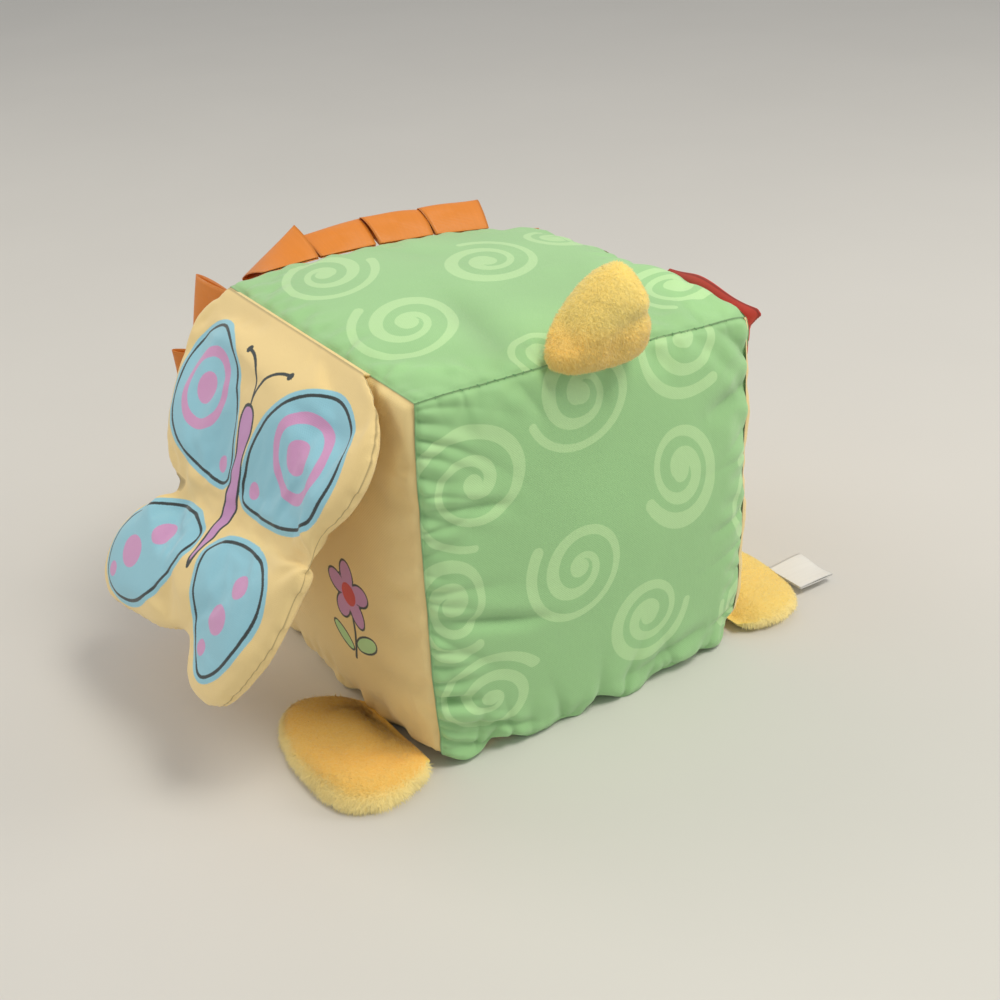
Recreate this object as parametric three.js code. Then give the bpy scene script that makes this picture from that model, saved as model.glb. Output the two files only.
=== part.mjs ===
// Soft fabric block: a stuffed cloth cube made up as a small animal, with a ribbon mane round its face,
// a padded butterfly flap, a red flap, a plush tail and two plush feet.
// Millimetres. The tail side faces +X, the face -X, the butterfly side -Y, and +Z is up from the floor.
import * as THREE from 'three';
import { mergeVertices } from 'three/addons/utils/BufferGeometryUtils.js';

// Block
const blockSide = 140;
const sideCrown = 7.4;
const seamBow = 3.4;
const topSlouch = 4;
const cornerLift = 5;
const crownPower = 2.1;

// Cloth, plush and seams
const cloth = 0.7;
const plush = 1.5;
const seamGap = 0.3;
const stitchedEdge = 0.4;
const stuffingGap = 0.8;

// Mane of ribbon loops
const ribbonWidth = 25.4;
const ribbonThickness = 0.5;
const loopLength = 17;
const loopSwell = 1.7;
const topRowLength = 105;
const topRowShift = -0.5;
const sideRowLength = 134;
const sideRowShift = 1;

// Butterfly flap
const butterflySpan = 141;
const butterflyLength = 137;
const butterflyShift = -1.5;
const butterflyTilt = THREE.MathUtils.degToRad(30);
const upperWingPad = 4.6;
const lowerWingPad = 4.8;
const creaseGap = 0.94;

// Red flap
const redFlapWidth = 53;
const redFlapLength = 56;
const redFlapPlace = 48;
const redFlapTilt = THREE.MathUtils.degToRad(11);
const redFlapPad = 1.5;

// Tail
const tailLength = 33;
const tailWidth = 43;
const tailThickness = 24;
const tailShift = 1.5;
const tailLean = 5;
const tailOverhang = 7;
const tailSagShare = 0.7;
const tailRoundPower = 0.75;

// Feet
const footWidth = 65;
const nearFootLength = 45;
const farFootLength = 41;
const footHeight = 16;
const footRimHeight = 4;
const footPlace = 46;

// Care label
const labelWidth = 20.5;
const labelLength = 19;
const labelThickness = 0.3;
const labelSwell = 0.5;
const labelPlace = 8;

// Facets
const sideSteps = 7;
const coreSteps = 6;
const cubeSpan = 2;
const loopSteps = 10;
const ribbonSteps = 3;
const tailSteps = 20;

const half = blockSide / 2;
const rimEdge = seamGap / 2 + cloth;
const hingeReach = stitchedEdge + seamGap;

const orange = new THREE.MeshStandardMaterial({ color: 0xe6963c, roughness: 0.45, metalness: 0 });
const green = new THREE.MeshStandardMaterial({ color: 0xa2d496, roughness: 0.85, metalness: 0 });
const cream = new THREE.MeshStandardMaterial({ color: 0xfadd98, roughness: 0.9, metalness: 0 });
const aqua = new THREE.MeshStandardMaterial({ color: 0x9cd2e0, roughness: 0.85, metalness: 0 });
const red = new THREE.MeshStandardMaterial({ color: 0xd6504b, roughness: 0.85, metalness: 0 });
const yellowPlush = new THREE.MeshStandardMaterial({ color: 0xf0c85a, roughness: 0.95, metalness: 0 });
const white = new THREE.MeshStandardMaterial({ color: 0xf2f2ee, roughness: 0.6, metalness: 0 });
const filling = new THREE.MeshStandardMaterial({ color: 0xf7f5ef, roughness: 1, metalness: 0 });

// A named mesh whose faces point out of its body.
function solid(name, geometry, material) {
  const bare = geometry.clone();
  bare.deleteAttribute('normal');
  bare.deleteAttribute('uv');
  const body = mergeVertices(bare);
  const place = body.getAttribute('position');
  const index = body.getIndex();
  const [a, b, c] = [new THREE.Vector3(), new THREE.Vector3(), new THREE.Vector3()];
  let volume = 0;
  for (let i = 0; i < index.count; i += 3) {
    a.fromBufferAttribute(place, index.getX(i));
    b.fromBufferAttribute(place, index.getX(i + 1));
    c.fromBufferAttribute(place, index.getX(i + 2));
    volume += a.dot(b.cross(c));
  }
  if (volume < 0) body.setIndex(Array.from(index.array).reverse());
  body.computeVertexNormals();
  const mesh = new THREE.Mesh(body, material);
  mesh.name = name;
  return mesh;
}

// A closed skin over a stack of rings with equal point counts, closed at both ends by a single point.
function loft(start, rings, end) {
  const count = rings[0].length;
  const points = [start, ...rings.flat(), end];
  const last = points.length - 1;
  const faces = [];
  for (let i = 0; i < count; i += 1) {
    const next = (i + 1) % count;
    faces.push(0, 1 + next, 1 + i);
    for (let k = 0; k + 1 < rings.length; k += 1) {
      const near = 1 + k * count;
      const far = near + count;
      faces.push(near + i, near + next, far + next, near + i, far + next, far + i);
    }
    faces.push(last, last - count + i, last - count + next);
  }
  const geometry = new THREE.BufferGeometry().setFromPoints(points);
  geometry.setIndex(faces);
  return geometry;
}

// The stuffed cube: a point of the cube from -1 to 1, pushed out to the crowned skin or to a depth below it.
// The sides crown in the middle, the seams bow a little, and the underside is pressed flat on the floor.
function skin(x, y, z, depth = 0) {
  const [sx, sy, sz] = [x, y, z].map((share) => Math.abs(share) ** crownPower);
  const pairs = sx * sy + sy * sz + sz * sx;
  const corner = sx * sy * sz;
  const swell = sideCrown - (sideCrown - seamBow) * pairs + (2 * sideCrown - 3 * seamBow) * corner;
  const reach = half + swell - depth;
  const height = cornerLift + half + z * reach - topSlouch * y * (z + 1) / 2;
  return new THREE.Vector3(x * reach, y * reach, Math.max(height, depth));
}

// One cloth side of the block between its four seams, as square rings that close on the middle of the side.
const ringShares = [1, 0.86, 0.6, 0.3];
function sidePanel(name, toCube, material) {
  const seamShare = 1 - seamGap / (Math.SQRT2 * half);
  const square = [];
  for (const [u, v, du, dv] of [[-1, -1, 1, 0], [1, -1, 0, 1], [1, 1, -1, 0], [-1, 1, 0, -1]]) {
    for (let i = 0; i < sideSteps; i += 1) {
      const along = 2 * i / sideSteps;
      square.push([u + du * along, v + dv * along]);
    }
  }
  const ring = (share, depth) => square.map(([u, v]) => {
    return skin(...toCube(u * share * seamShare, v * share * seamShare), depth);
  });
  const outside = ringShares.map((share) => ring(share, 0)).reverse();
  const inside = ringShares.map((share) => ring(share, cloth));
  const geometry = loft(skin(...toCube(0, 0), 0), [...outside, ...inside], skin(...toCube(0, 0), cloth));
  return solid(name, geometry, material);
}

function stuffingCore() {
  const geometry = new THREE.BoxGeometry(cubeSpan, cubeSpan, cubeSpan, coreSteps, coreSteps, coreSteps);
  const place = geometry.getAttribute('position');
  for (let i = 0; i < place.count; i += 1) {
    const point = skin(place.getX(i), place.getY(i), place.getZ(i), cloth + stuffingGap);
    place.setXYZ(i, point.x, point.y, point.z);
  }
  return solid('stuffing_core', geometry, filling);
}

// A folded ribbon: both ends lie together at the seam and the fold stands away from it.
// Its outline runs out along X and opens along Y, and the ribbon's width lies along Z.
function foldedRibbon({ name, width, length, thickness, swell, material, twist = 0, flare = 0 }) {
  const leg = (seamGap + thickness) / 2;
  const middle = [];
  for (let i = 0; i <= loopSteps; i += 1) {
    const turn = 2 * Math.PI * i / loopSteps;
    const out = length * (1 - Math.cos(turn)) / 2;
    const aside = leg * Math.cos(turn / 2) + swell * Math.sin(turn) * Math.sin(turn / 2);
    middle.push(new THREE.Vector2(out, aside));
  }
  const offset = (sign) => middle.map((point, i) => {
    const ahead = middle[Math.min(i + 1, loopSteps)];
    const behind = middle[Math.max(i - 1, 0)];
    const along = ahead.clone().sub(behind).normalize();
    const isEnd = i === 0 || i === loopSteps;
    const across = isEnd ? new THREE.Vector2(0, i === 0 ? 1 : -1) : new THREE.Vector2(-along.y, along.x);
    return point.clone().addScaledVector(across, sign * thickness / 2);
  });
  const outline = new THREE.Shape([...offset(1), ...offset(-1).reverse()]);
  const geometry = new THREE.ExtrudeGeometry(outline, { depth: width, steps: ribbonSteps, bevelEnabled: false });
  geometry.translate(0, 0, -width / 2);
  const place = geometry.getAttribute('position');
  for (let i = 0; i < place.count; i += 1) {
    const share = place.getX(i) / length;
    const turn = twist * share;
    const across = place.getZ(i) * (1 + flare * share);
    const aside = place.getY(i);
    place.setY(i, aside * Math.cos(turn) - across * Math.sin(turn));
    place.setZ(i, aside * Math.sin(turn) + across * Math.cos(turn));
  }
  return solid(name, geometry, material);
}

// One row of mane loops along a seam of the face. Each loop stands on the seam's own line, and leans from
// straight forward towards the row's outer side.
const leanShares = {
  top: [0.03, 0.22, 0.31, 0.36],
  near: [0.25, 0.5, 0.42, 0.46, 0.38],
  far: [0.7, 0.55, 0.42, 0.5, 0.4],
};
const twistShares = {
  top: [0.15, -0.06, 0.05, -0.1],
  near: [0.08, -0.1, 0.12, -0.06, 0.05],
  far: [-0.06, 0.1, -0.08, 0.06, 0.1],
};
const lengthShares = {
  top: [1.05, 1, 0.95, 0.95],
  near: [0.95, 1.3, 1.12, 1.2, 1.05],
  far: [0.9, 1.2, 1.1, 1.15, 1.05],
};
function maneRow(row, toCube, outer, from, to) {
  const leans = leanShares[row];
  return leans.map((lean, i) => {
    const share = from + (to - from) * (i + 0.5) / leans.length;
    const step = seamGap / blockSide;
    const foot = skin(...toCube(share));
    const along = skin(...toCube(share + step)).sub(skin(...toCube(share - step))).normalize();
    const leaning = lean * Math.PI / 2;
    const out = new THREE.Vector3(-Math.cos(leaning), 0, 0).addScaledVector(outer, Math.sin(leaning));
    out.addScaledVector(along, -out.dot(along)).normalize();
    const loop = foldedRibbon({
      name: `mane_${row}_${i + 1}`,
      width: ribbonWidth,
      length: loopLength * lengthShares[row][i],
      thickness: ribbonThickness,
      swell: loopSwell,
      material: orange,
      twist: twistShares[row][i] * Math.PI / 2,
      flare: row === 'top' ? Math.abs(twistShares[row][i]) / 2 : 0,
    });
    const turn = new THREE.Matrix4().makeBasis(out, along.clone().cross(out), along);
    loop.applyMatrix4(turn.setPosition(foot.addScaledVector(out, seamGap)));
    return loop;
  });
}

// A sewn pad seen from the front: rings of its outline drawn in towards a centre, so that it is thin at its
// stitched edges and crowned in the middle.
const padRingShares = [0, 0.14, 0.4, 0.72];
function padRings(outline, centre, shares, height) {
  return shares.map((share) => outline.map((point, i) => {
    const place = point.clone().lerp(centre, share);
    return new THREE.Vector3(place.x, place.y, height(share, i));
  }));
}

// A layer of a pad between two height surfaces, each a function of the ring's share and the outline's point.
function padLayer(name, outline, centre, shares, top, bottom, material) {
  const above = padRings(outline, centre, shares, top).reverse();
  const below = padRings(outline, centre, shares, bottom);
  const summit = new THREE.Vector3(centre.x, centre.y, top(1, 0));
  const base = new THREE.Vector3(centre.x, centre.y, bottom(1, 0));
  return solid(name, loft(summit, [...above, ...below], base), material);
}

const crowned = (share, power = 2) => 1 - (1 - share) ** power;

// Front cloth, back cloth and wadding of a flat pad. The edge list gives its half thickness round the outline.
function flapLayers(names, outline, edges, centre, pad, front, back, packedRing = 1) {
  const outside = (share, i) => edges[i] + (pad - edges[i]) * crowned(share);
  const inside = (share, i) => Math.max(outside(share, i) - cloth, seamGap / 2);
  const packed = (share, i) => Math.max(inside(share, i) - seamGap, seamGap / 2);
  const below = (height) => (share, i) => -height(share, i);
  const inner = padRingShares.slice(packedRing);
  return [
    padLayer(names.front, outline, centre, padRingShares, outside, inside, front),
    padLayer(names.back, outline, centre, padRingShares, below(inside), below(outside), back),
    padLayer(names.wadding, outline, centre, inner, packed, below(packed), filling),
  ];
}

const spline = (points, count) => new THREE.SplineCurve(points).getSpacedPoints(count);

// Points between two ends of a straight stitched line, both ends left out.
function straight(from, to, count) {
  const points = [];
  for (let i = 1; i < count; i += 1) points.push(from.clone().lerp(to, i / count));
  return points;
}

// Butterfly flap, drawn flat: X along the seam, -Y down the flap, from the sewn edge at the top.
const upperRightShares = [[0.69, 0], [0.83, 0.04], [0.94, 0.11], [0.99, 0.18], [0.99, 0.26], [0.94, 0.34],
  [0.87, 0.4]];
const upperLeftShares = [[-0.7, 0.54], [-0.83, 0.475], [-0.93, 0.35], [-0.97, 0.22], [-0.98, 0.13],
  [-0.91, 0.05], [-0.83, 0]];
const lowerWingShares = [[0.86, 0.52], [0.83, 0.61], [0.81, 0.7], [0.735, 0.82], [0.59, 0.94], [0.38, 0.98],
  [0.205, 0.955], [0.08, 0.875], [-0.18, 0.93], [-0.545, 0.98], [-0.83, 0.995], [-0.98, 0.94], [-1, 0.825],
  [-0.885, 0.695], [-0.7, 0.605]];
const creaseRightShare = [0.85, 0.468];
const creaseLeftShare = [-0.53, 0.555];
const upperCentreShare = [0, 0.25];
const lowerCentreShare = [0.03, 0.72];

const onFlap = ([x, down]) => {
  return new THREE.Vector2(butterflyShift + x * butterflySpan / 2, -down * butterflyLength);
};
const creaseRight = onFlap(creaseRightShare);
const creaseLeft = onFlap(creaseLeftShare);
const creaseAcross = creaseRight.clone().sub(creaseLeft).normalize();
const creaseUp = new THREE.Vector2(-creaseAcross.y, creaseAcross.x);

function butterflyUpperWings() {
  const right = creaseRight.clone().addScaledVector(creaseUp, creaseGap / 2);
  const left = creaseLeft.clone().addScaledVector(creaseUp, creaseGap / 2);
  const rightSide = spline([...upperRightShares.map(onFlap), right], 9);
  const leftSide = spline([left, ...upperLeftShares.map(onFlap)], 10);
  const crease = straight(right, left, 7);
  const sewn = straight(leftSide.at(-1), rightSide[0], 7);
  const outline = [...rightSide, ...crease, ...leftSide, ...sewn];
  const thin = new Set([...crease, ...sewn, rightSide[0], rightSide.at(-1), leftSide[0], leftSide.at(-1)]);
  const edges = outline.map((point) => (thin.has(point) ? stitchedEdge : rimEdge));
  const names = {
    front: 'butterfly_upper_front', back: 'butterfly_upper_back', wadding: 'butterfly_upper_wadding',
  };
  return flapLayers(names, outline, edges, onFlap(upperCentreShare), upperWingPad, aqua, cream);
}

function butterflyLowerWings() {
  const right = creaseRight.clone().addScaledVector(creaseUp, -creaseGap / 2);
  const left = creaseLeft.clone().addScaledVector(creaseUp, -creaseGap / 2);
  const lobes = spline([right, ...lowerWingShares.map(onFlap), left], 30);
  const crease = straight(left, right, 7);
  const outline = [...lobes, ...crease];
  const thin = new Set([...crease, lobes[0], lobes.at(-1)]);
  const edges = outline.map((point) => (thin.has(point) ? stitchedEdge : rimEdge));
  const names = {
    front: 'butterfly_lower_front', back: 'butterfly_lower_back', wadding: 'butterfly_lower_wadding',
  };
  return flapLayers(names, outline, edges, onFlap(lowerCentreShare), lowerWingPad, aqua, cream);
}

// The flap hangs from a straight line just outside the middle of the seam, and leans away from the block.
function butterflyFlap() {
  const seam = skin(0, -1, 1);
  const flap = new THREE.Group();
  flap.add(...butterflyUpperWings(), ...butterflyLowerWings());
  flap.position.set(0, seam.y - hingeReach * Math.SQRT1_2, seam.z + hingeReach * Math.SQRT1_2);
  flap.rotation.x = Math.PI / 2 - butterflyTilt;
  return flap;
}

// Red flap on the far side, drawn flat like the butterfly and turned to face +Y.
// It comes up out of the seam and folds over, so that its top stands a little above the seam.
const redFlapShares = [[0.9, -0.05], [0.98, -0.01], [0.84, 0.06], [0.66, 0.16], [0.57, 0.34], [0.46, 0.62],
  [0.3, 0.87], [0, 1]];
const redCentreShare = 0.36;
function redFlap() {
  const onRed = ([x, down]) => new THREE.Vector2(x * redFlapWidth / 2, -down * redFlapLength);
  const mirrored = redFlapShares.slice(0, -1).map(([x, down]) => [-x, down]).reverse();
  const side = spline([...redFlapShares, ...mirrored].map(onRed), 19);
  const outline = [...side, ...straight(side.at(-1), side[0], 5)];
  const edges = outline.map(() => rimEdge);
  const names = { front: 'red_flap_front', back: 'red_flap_back', wadding: 'red_flap_wadding' };
  const layers = new THREE.Group();
  layers.add(...flapLayers(names, outline, edges, onRed([0, redCentreShare]), redFlapPad, red, cream, 2));
  layers.position.z = rimEdge + seamGap;
  const flap = new THREE.Group();
  flap.add(layers);
  flap.rotation.x = Math.PI / 2 - redFlapTilt;
  const seam = skin((redFlapPlace - redFlapWidth / 2) / half, 1, 1);
  const side3d = new THREE.Group();
  side3d.add(flap);
  side3d.position.set(redFlapPlace, seam.y + hingeReach * Math.SQRT1_2, seam.z + hingeReach * Math.SQRT1_2);
  side3d.rotation.z = Math.PI;
  return side3d;
}

// Tail: sections stacked from the sewn edge to the round tip, each with shares of its height, its half
// width, its half thickness, its lean and its overhang. The sections are ovals with full ends. X runs along
// the seam towards the butterfly side, Y away from the block and Z up the tail, which leans to the far side.
const tailShares = [
  [0, 0.9, 0.07, 0, 0], [0.1, 0.98, 0.5, 0.1, 0.26], [0.26, 0.98, 0.86, 0.34, 0.46],
  [0.46, 0.86, 1, 0.62, 0.62], [0.66, 0.68, 0.96, 0.82, 0.8], [0.83, 0.47, 0.76, 0.94, 0.92],
  [0.95, 0.24, 0.44, 1, 0.98],
];
const rounded = (value) => Math.sign(value) * Math.abs(value) ** tailRoundPower;
function tailRing([up, wide, thick, lean, overhang], inset, drop) {
  const ring = [];
  for (let i = 0; i < tailSteps; i += 1) {
    const turn = 2 * Math.PI * i / tailSteps;
    const halfThickness = Math.max(tailThickness * thick / 2 - inset, seamGap / 2);
    const x = tailShift - tailLean * lean + Math.max(tailWidth * wide / 2 - inset, 0) * rounded(Math.cos(turn));
    const y = tailOverhang * overhang + halfThickness * rounded(Math.sin(turn));
    ring.push(new THREE.Vector3(x, y, (tailLength - drop) * up - tailSagShare * (1 - up) * y));
  }
  return ring;
}

function tail() {
  const tip = (drop) => new THREE.Vector3(tailShift - tailLean, tailOverhang, tailLength - drop);
  const outside = tailShares.map((share) => tailRing(share, 0, 0)).reverse();
  const inside = tailShares.map((share) => tailRing(share, plush, plush));
  const cover = solid('tail_cover', loft(tip(0), [...outside, ...inside], tip(plush)), yellowPlush);
  const depth = plush + seamGap;
  const packed = tailShares.slice(1).map((share) => tailRing(share, depth, depth));
  const bottom = packed[0].reduce((sum, point) => sum.add(point), new THREE.Vector3());
  bottom.divideScalar(tailSteps);
  const stuffing = solid('tail_stuffing', loft(bottom, packed, tip(depth)), filling);

  const step = seamGap / blockSide;
  const seam = skin(1, 0, 1);
  const along = skin(1, -step, 1).sub(skin(1, step, 1)).normalize();
  const away = new THREE.Vector3(1, 0, 0);
  const up = along.clone().cross(away);
  const place = new THREE.Matrix4().makeBasis(along, away, up);
  const group = new THREE.Group();
  group.add(cover, stuffing);
  const reach = hingeReach * Math.SQRT1_2;
  group.applyMatrix4(place.setPosition(seam.x + reach, seam.y, seam.z + reach));
  return group;
}

// A foot lies flat on the floor and is sewn along its straight side into the bottom seam of the block.
// Drawn with X along the seam and Y away from the block; the splay moves its toe sideways.
const footShares = [[0.78, 0], [0.95, 0.2], [1, 0.48], [0.94, 0.73], [0.7, 0.91], [0.37, 0.98], [0, 1]];
const footRingShares = [0, 0.22, 0.58];
const footCentreShare = 0.47;
const soleFlatShare = 0.22;
function foot(name, length, splay) {
  const onFoot = ([x, y]) => {
    const out = y * length;
    return new THREE.Vector2(x * footWidth / 2 + splay * out, out);
  };
  const mirrored = footShares.slice(0, -1).map(([x, y]) => [-x, y]).reverse();
  const toe = spline([...footShares, ...mirrored].map(onFoot), 17);
  const outline = [...toe, ...straight(toe.at(-1), toe[0], 5)];
  const centre = onFoot([0, footCentreShare]);
  const upperOut = (share) => {
    return footRimHeight + rimEdge + (footHeight - footRimHeight - rimEdge) * crowned(share, 1.8);
  };
  const upperIn = (share) => Math.max(upperOut(share) - plush, footRimHeight + seamGap / 2);
  const soleOut = (share) => (footRimHeight - rimEdge) * Math.max(1 - share / soleFlatShare, 0);
  const soleIn = (share) => Math.min(soleOut(share) + plush, footRimHeight - seamGap / 2);
  const packedTop = (share) => upperIn(share) - seamGap;
  const packedBottom = (share) => soleIn(share) + seamGap;
  const inner = footRingShares.slice(1);
  return [
    padLayer(`${name}_upper`, outline, centre, footRingShares, upperOut, upperIn, yellowPlush),
    padLayer(`${name}_sole`, outline, centre, footRingShares, soleIn, soleOut, yellowPlush),
    padLayer(`${name}_stuffing`, outline, centre, inner, packedTop, packedBottom, filling),
  ];
}

// The sewn edge of a foot clears the side of the block above it by the height of its own thick rim.
function placedFoot(name, side, length, splay) {
  const seam = skin((footPlace - footWidth / 2) / half, side, -1);
  const group = new THREE.Group();
  group.add(...foot(name, length, splay));
  group.rotation.z = side < 0 ? Math.PI : 0;
  group.position.set(footPlace, seam.y + side * rimEdge, 0);
  return group;
}

// White label folded into the rim seam at the toe of the far rear foot.
function careLabel(farFoot) {
  const label = foldedRibbon({
    name: 'care_label', width: labelWidth, length: labelLength, thickness: labelThickness,
    swell: labelSwell, material: white,
  });
  const out = new THREE.Vector3(0, 1, 0);
  const along = new THREE.Vector3(1, 0, 0);
  const turn = new THREE.Matrix4().makeBasis(out, along.clone().cross(out), along);
  turn.setPosition(labelPlace, farFootLength + seamGap, footRimHeight);
  label.applyMatrix4(turn);
  farFoot.add(label);
}

const block = new THREE.Group();
block.add(
  stuffingCore(),
  sidePanel('top_panel', (u, v) => [u, v, 1], green),
  sidePanel('bottom_panel', (u, v) => [u, -v, -1], cream),
  sidePanel('tail_panel', (u, v) => [1, u, v], green),
  sidePanel('face_panel', (u, v) => [-1, -u, v], cream),
  sidePanel('butterfly_side_panel', (u, v) => [u, -1, v], cream),
  sidePanel('far_side_panel', (u, v) => [-u, 1, v], cream),
);

const rowEnds = (length, shift) => [(2 * shift + length) / blockSide, (2 * shift - length) / blockSide];
const [topLast, topFirst] = rowEnds(topRowLength, topRowShift);
const sideEnds = rowEnds(sideRowLength, sideRowShift);
block.add(
  ...maneRow('top', (share) => [-1, share, 1], new THREE.Vector3(0, 0, 1), topFirst, topLast),
  ...maneRow('near', (share) => [-1, -1, share], new THREE.Vector3(0, -1, 0), ...sideEnds),
  ...maneRow('far', (share) => [-1, 1, share], new THREE.Vector3(0, 1, 0), ...sideEnds),
);

const farFoot = placedFoot('far_foot', 1, farFootLength, -0.02);
careLabel(farFoot);
block.add(
  butterflyFlap(),
  redFlap(),
  tail(),
  placedFoot('near_foot', -1, nearFootLength, -0.06),
  farFoot,
);

export default block;
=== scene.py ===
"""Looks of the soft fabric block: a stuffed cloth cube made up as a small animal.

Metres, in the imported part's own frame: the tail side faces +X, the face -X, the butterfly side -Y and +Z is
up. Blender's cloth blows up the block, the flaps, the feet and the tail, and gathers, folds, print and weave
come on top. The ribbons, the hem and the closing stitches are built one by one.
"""

import math

import bpy
import numpy as np
from mathutils import Matrix, Quaternion, Vector


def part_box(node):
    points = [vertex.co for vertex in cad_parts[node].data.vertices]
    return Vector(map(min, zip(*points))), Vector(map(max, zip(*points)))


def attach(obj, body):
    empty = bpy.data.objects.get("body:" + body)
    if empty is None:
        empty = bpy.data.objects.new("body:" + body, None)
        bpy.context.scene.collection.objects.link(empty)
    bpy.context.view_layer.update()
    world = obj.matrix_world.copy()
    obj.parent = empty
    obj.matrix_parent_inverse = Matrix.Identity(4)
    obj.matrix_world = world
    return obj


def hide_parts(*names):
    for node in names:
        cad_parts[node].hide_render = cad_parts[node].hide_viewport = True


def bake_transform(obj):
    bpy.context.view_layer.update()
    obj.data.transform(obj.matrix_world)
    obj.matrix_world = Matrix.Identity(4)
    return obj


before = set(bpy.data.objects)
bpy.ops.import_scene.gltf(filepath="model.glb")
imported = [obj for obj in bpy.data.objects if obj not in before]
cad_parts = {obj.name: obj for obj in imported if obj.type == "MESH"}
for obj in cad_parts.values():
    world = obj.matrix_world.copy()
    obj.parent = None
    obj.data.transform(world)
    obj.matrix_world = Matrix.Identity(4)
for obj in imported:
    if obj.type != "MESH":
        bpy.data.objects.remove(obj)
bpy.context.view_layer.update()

MM = 0.001

# The block, as the solids have it
HALF = 70 * MM
SIDE_CROWN = 7.4 * MM
SEAM_BOW = 3.4 * MM
TOP_SLOUCH = 4 * MM
CORNER_LIFT = 5 * MM
CORNER_PULL = np.array([0.0, 4.0, 0.8]) * MM
CORNER_REACH = 30 * MM
CROWN_POWER = 2.1

# Fineness of the meshes
PANEL_CELLS = 144
SHOWN_CELLS = 260
SIM_CELLS = 30
SIM_FRAMES = 20
FLAP_VOXEL = 1.7 * MM
FIBRES = 52000
EVENED = ("SMOOTH", {"factor": 0.5, "iterations": 2})

# Small helpers


def srgb(red, green, blue):
    """A colour given in 0 to 255 as Blender's linear colour."""
    channels = [x / 255 for x in (red, green, blue)]
    linear = [x / 12.92 if x <= 0.04045 else ((x + 0.055) / 1.055) ** 2.4 for x in channels]
    return (*linear, 1.0)


def toned(colour, share):
    """A darker or paler tone of a colour."""
    return (*(min(x * share, 1) for x in colour[:3]), 1.0)


def smooth_step(x):
    x = np.clip(x, 0, 1)
    return x * x * (3 - 2 * x)


def bump(x):
    return np.exp(-np.square(x))


def unit(vectors):
    return vectors / np.maximum(np.linalg.norm(vectors, axis=-1, keepdims=True), 1e-12)


def mesh_object(name, points, faces):
    mesh = bpy.data.meshes.new(name)
    mesh.from_pydata(np.asarray(points, float).tolist(), [], [list(map(int, face)) for face in faces])
    mesh.update()
    mesh.shade_smooth()
    obj = bpy.data.objects.new(name, mesh)
    bpy.context.scene.collection.objects.link(obj)
    return obj


def points_of(obj, kind="co"):
    """The places of the mesh's points, or with kind "normal" which way they face."""
    values = np.empty(len(obj.data.vertices) * 3)
    obj.data.vertices.foreach_get(kind, values)
    return values.reshape(-1, 3)


def set_points(obj, points):
    obj.data.vertices.foreach_set("co", np.asarray(points, np.float32).ravel())
    obj.data.update()


def store(obj, **attributes):
    """Keeps one number, or one flat place, for each point of the mesh, for its material to read."""
    for name, values in attributes.items():
        values = np.asarray(values, np.float32)
        if values.ndim == 1:
            obj.data.attributes.new(name, "FLOAT", "POINT").data.foreach_set("value", values)
        else:
            places = np.c_[values, np.zeros(len(values), np.float32)]
            obj.data.attributes.new(name, "FLOAT_VECTOR", "POINT").data.foreach_set("vector", places.ravel())


def grid_faces(rows, columns):
    index = np.arange(rows * columns).reshape(rows, columns)
    corners = (index[:-1, :-1], index[:-1, 1:], index[1:, 1:], index[1:, :-1])
    return np.stack([corner.ravel() for corner in corners], axis=1)


def tube_faces(rings, sides):
    """Faces of a tube with closed ends, whose points go ring by ring."""
    index = np.arange(rings * sides).reshape(rings, sides)
    ahead = np.roll(index, -1, axis=1)
    walls = np.stack([index[:-1], ahead[:-1], ahead[1:], index[1:]], axis=-1).reshape(-1, 4)
    return [*walls.tolist(), index[0, ::-1].tolist(), index[-1].tolist()]


def applied(obj, *modifiers):
    """The object with modifiers, each a kind with its settings, applied to its mesh."""
    for kind, settings in modifiers:
        modifier = obj.modifiers.new(kind, kind)
        for key, value in settings.items():
            setattr(modifier, key, value)
    mesh = bpy.data.meshes.new_from_object(obj.evaluated_get(bpy.context.evaluated_depsgraph_get()))
    obj.modifiers.clear()
    old = obj.data
    obj.data = mesh
    bpy.data.meshes.remove(old)
    mesh.name = obj.name
    return obj


def voxel_form(obj, voxel):
    return applied(obj, ("REMESH", {"mode": "VOXEL", "voxel_size": voxel, "use_smooth_shade": True}), EVENED)


def finer(obj):
    """The points of the object once its mesh is evened and subdivided."""
    applied(obj, EVENED, ("SUBSURF", {"levels": 1, "render_levels": 1}))
    obj.data.shade_smooth()
    return points_of(obj)


def thickened(obj, thickness):
    applied(obj, ("SOLIDIFY", {"thickness": thickness, "offset": 0}))
    obj.data.shade_smooth()


def stuffed(obj, cap, pressure=3.0, slack=0.02, held=None, bend=0.5):
    """Blows a closed form up with cloth. No point moves further than its cap, and held points stay."""
    rest = points_of(obj)
    cloth = obj.modifiers.new("stuffing", "CLOTH")
    settings = {
        "quality": 6, "mass": 0.15, "tension_stiffness": 15, "compression_stiffness": 15,
        "shear_stiffness": 5, "bending_stiffness": bend, "shrink_min": -slack,
        "use_pressure": True, "uniform_pressure_force": pressure,
    }
    for key, value in settings.items():
        setattr(cloth.settings, key, value)
    cloth.settings.effector_weights.gravity = 0
    if held is not None:
        obj.vertex_groups.new(name="held").add(np.flatnonzero(held).tolist(), 1.0, "REPLACE")
        cloth.settings.vertex_group_mass = "held"
    cloth.point_cache.frame_start = 1
    cloth.point_cache.frame_end = SIM_FRAMES
    for number in range(1, SIM_FRAMES + 1):
        bpy.context.scene.frame_set(number)
    applied(obj)
    bpy.context.scene.frame_set(1)
    moved = points_of(obj) - rest
    length = np.linalg.norm(moved, axis=1, keepdims=True)
    most = np.broadcast_to(cap, len(rest))[:, None]
    set_points(obj, rest + moved * np.minimum(1, most / np.maximum(length, 1e-9)))
    return obj


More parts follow.
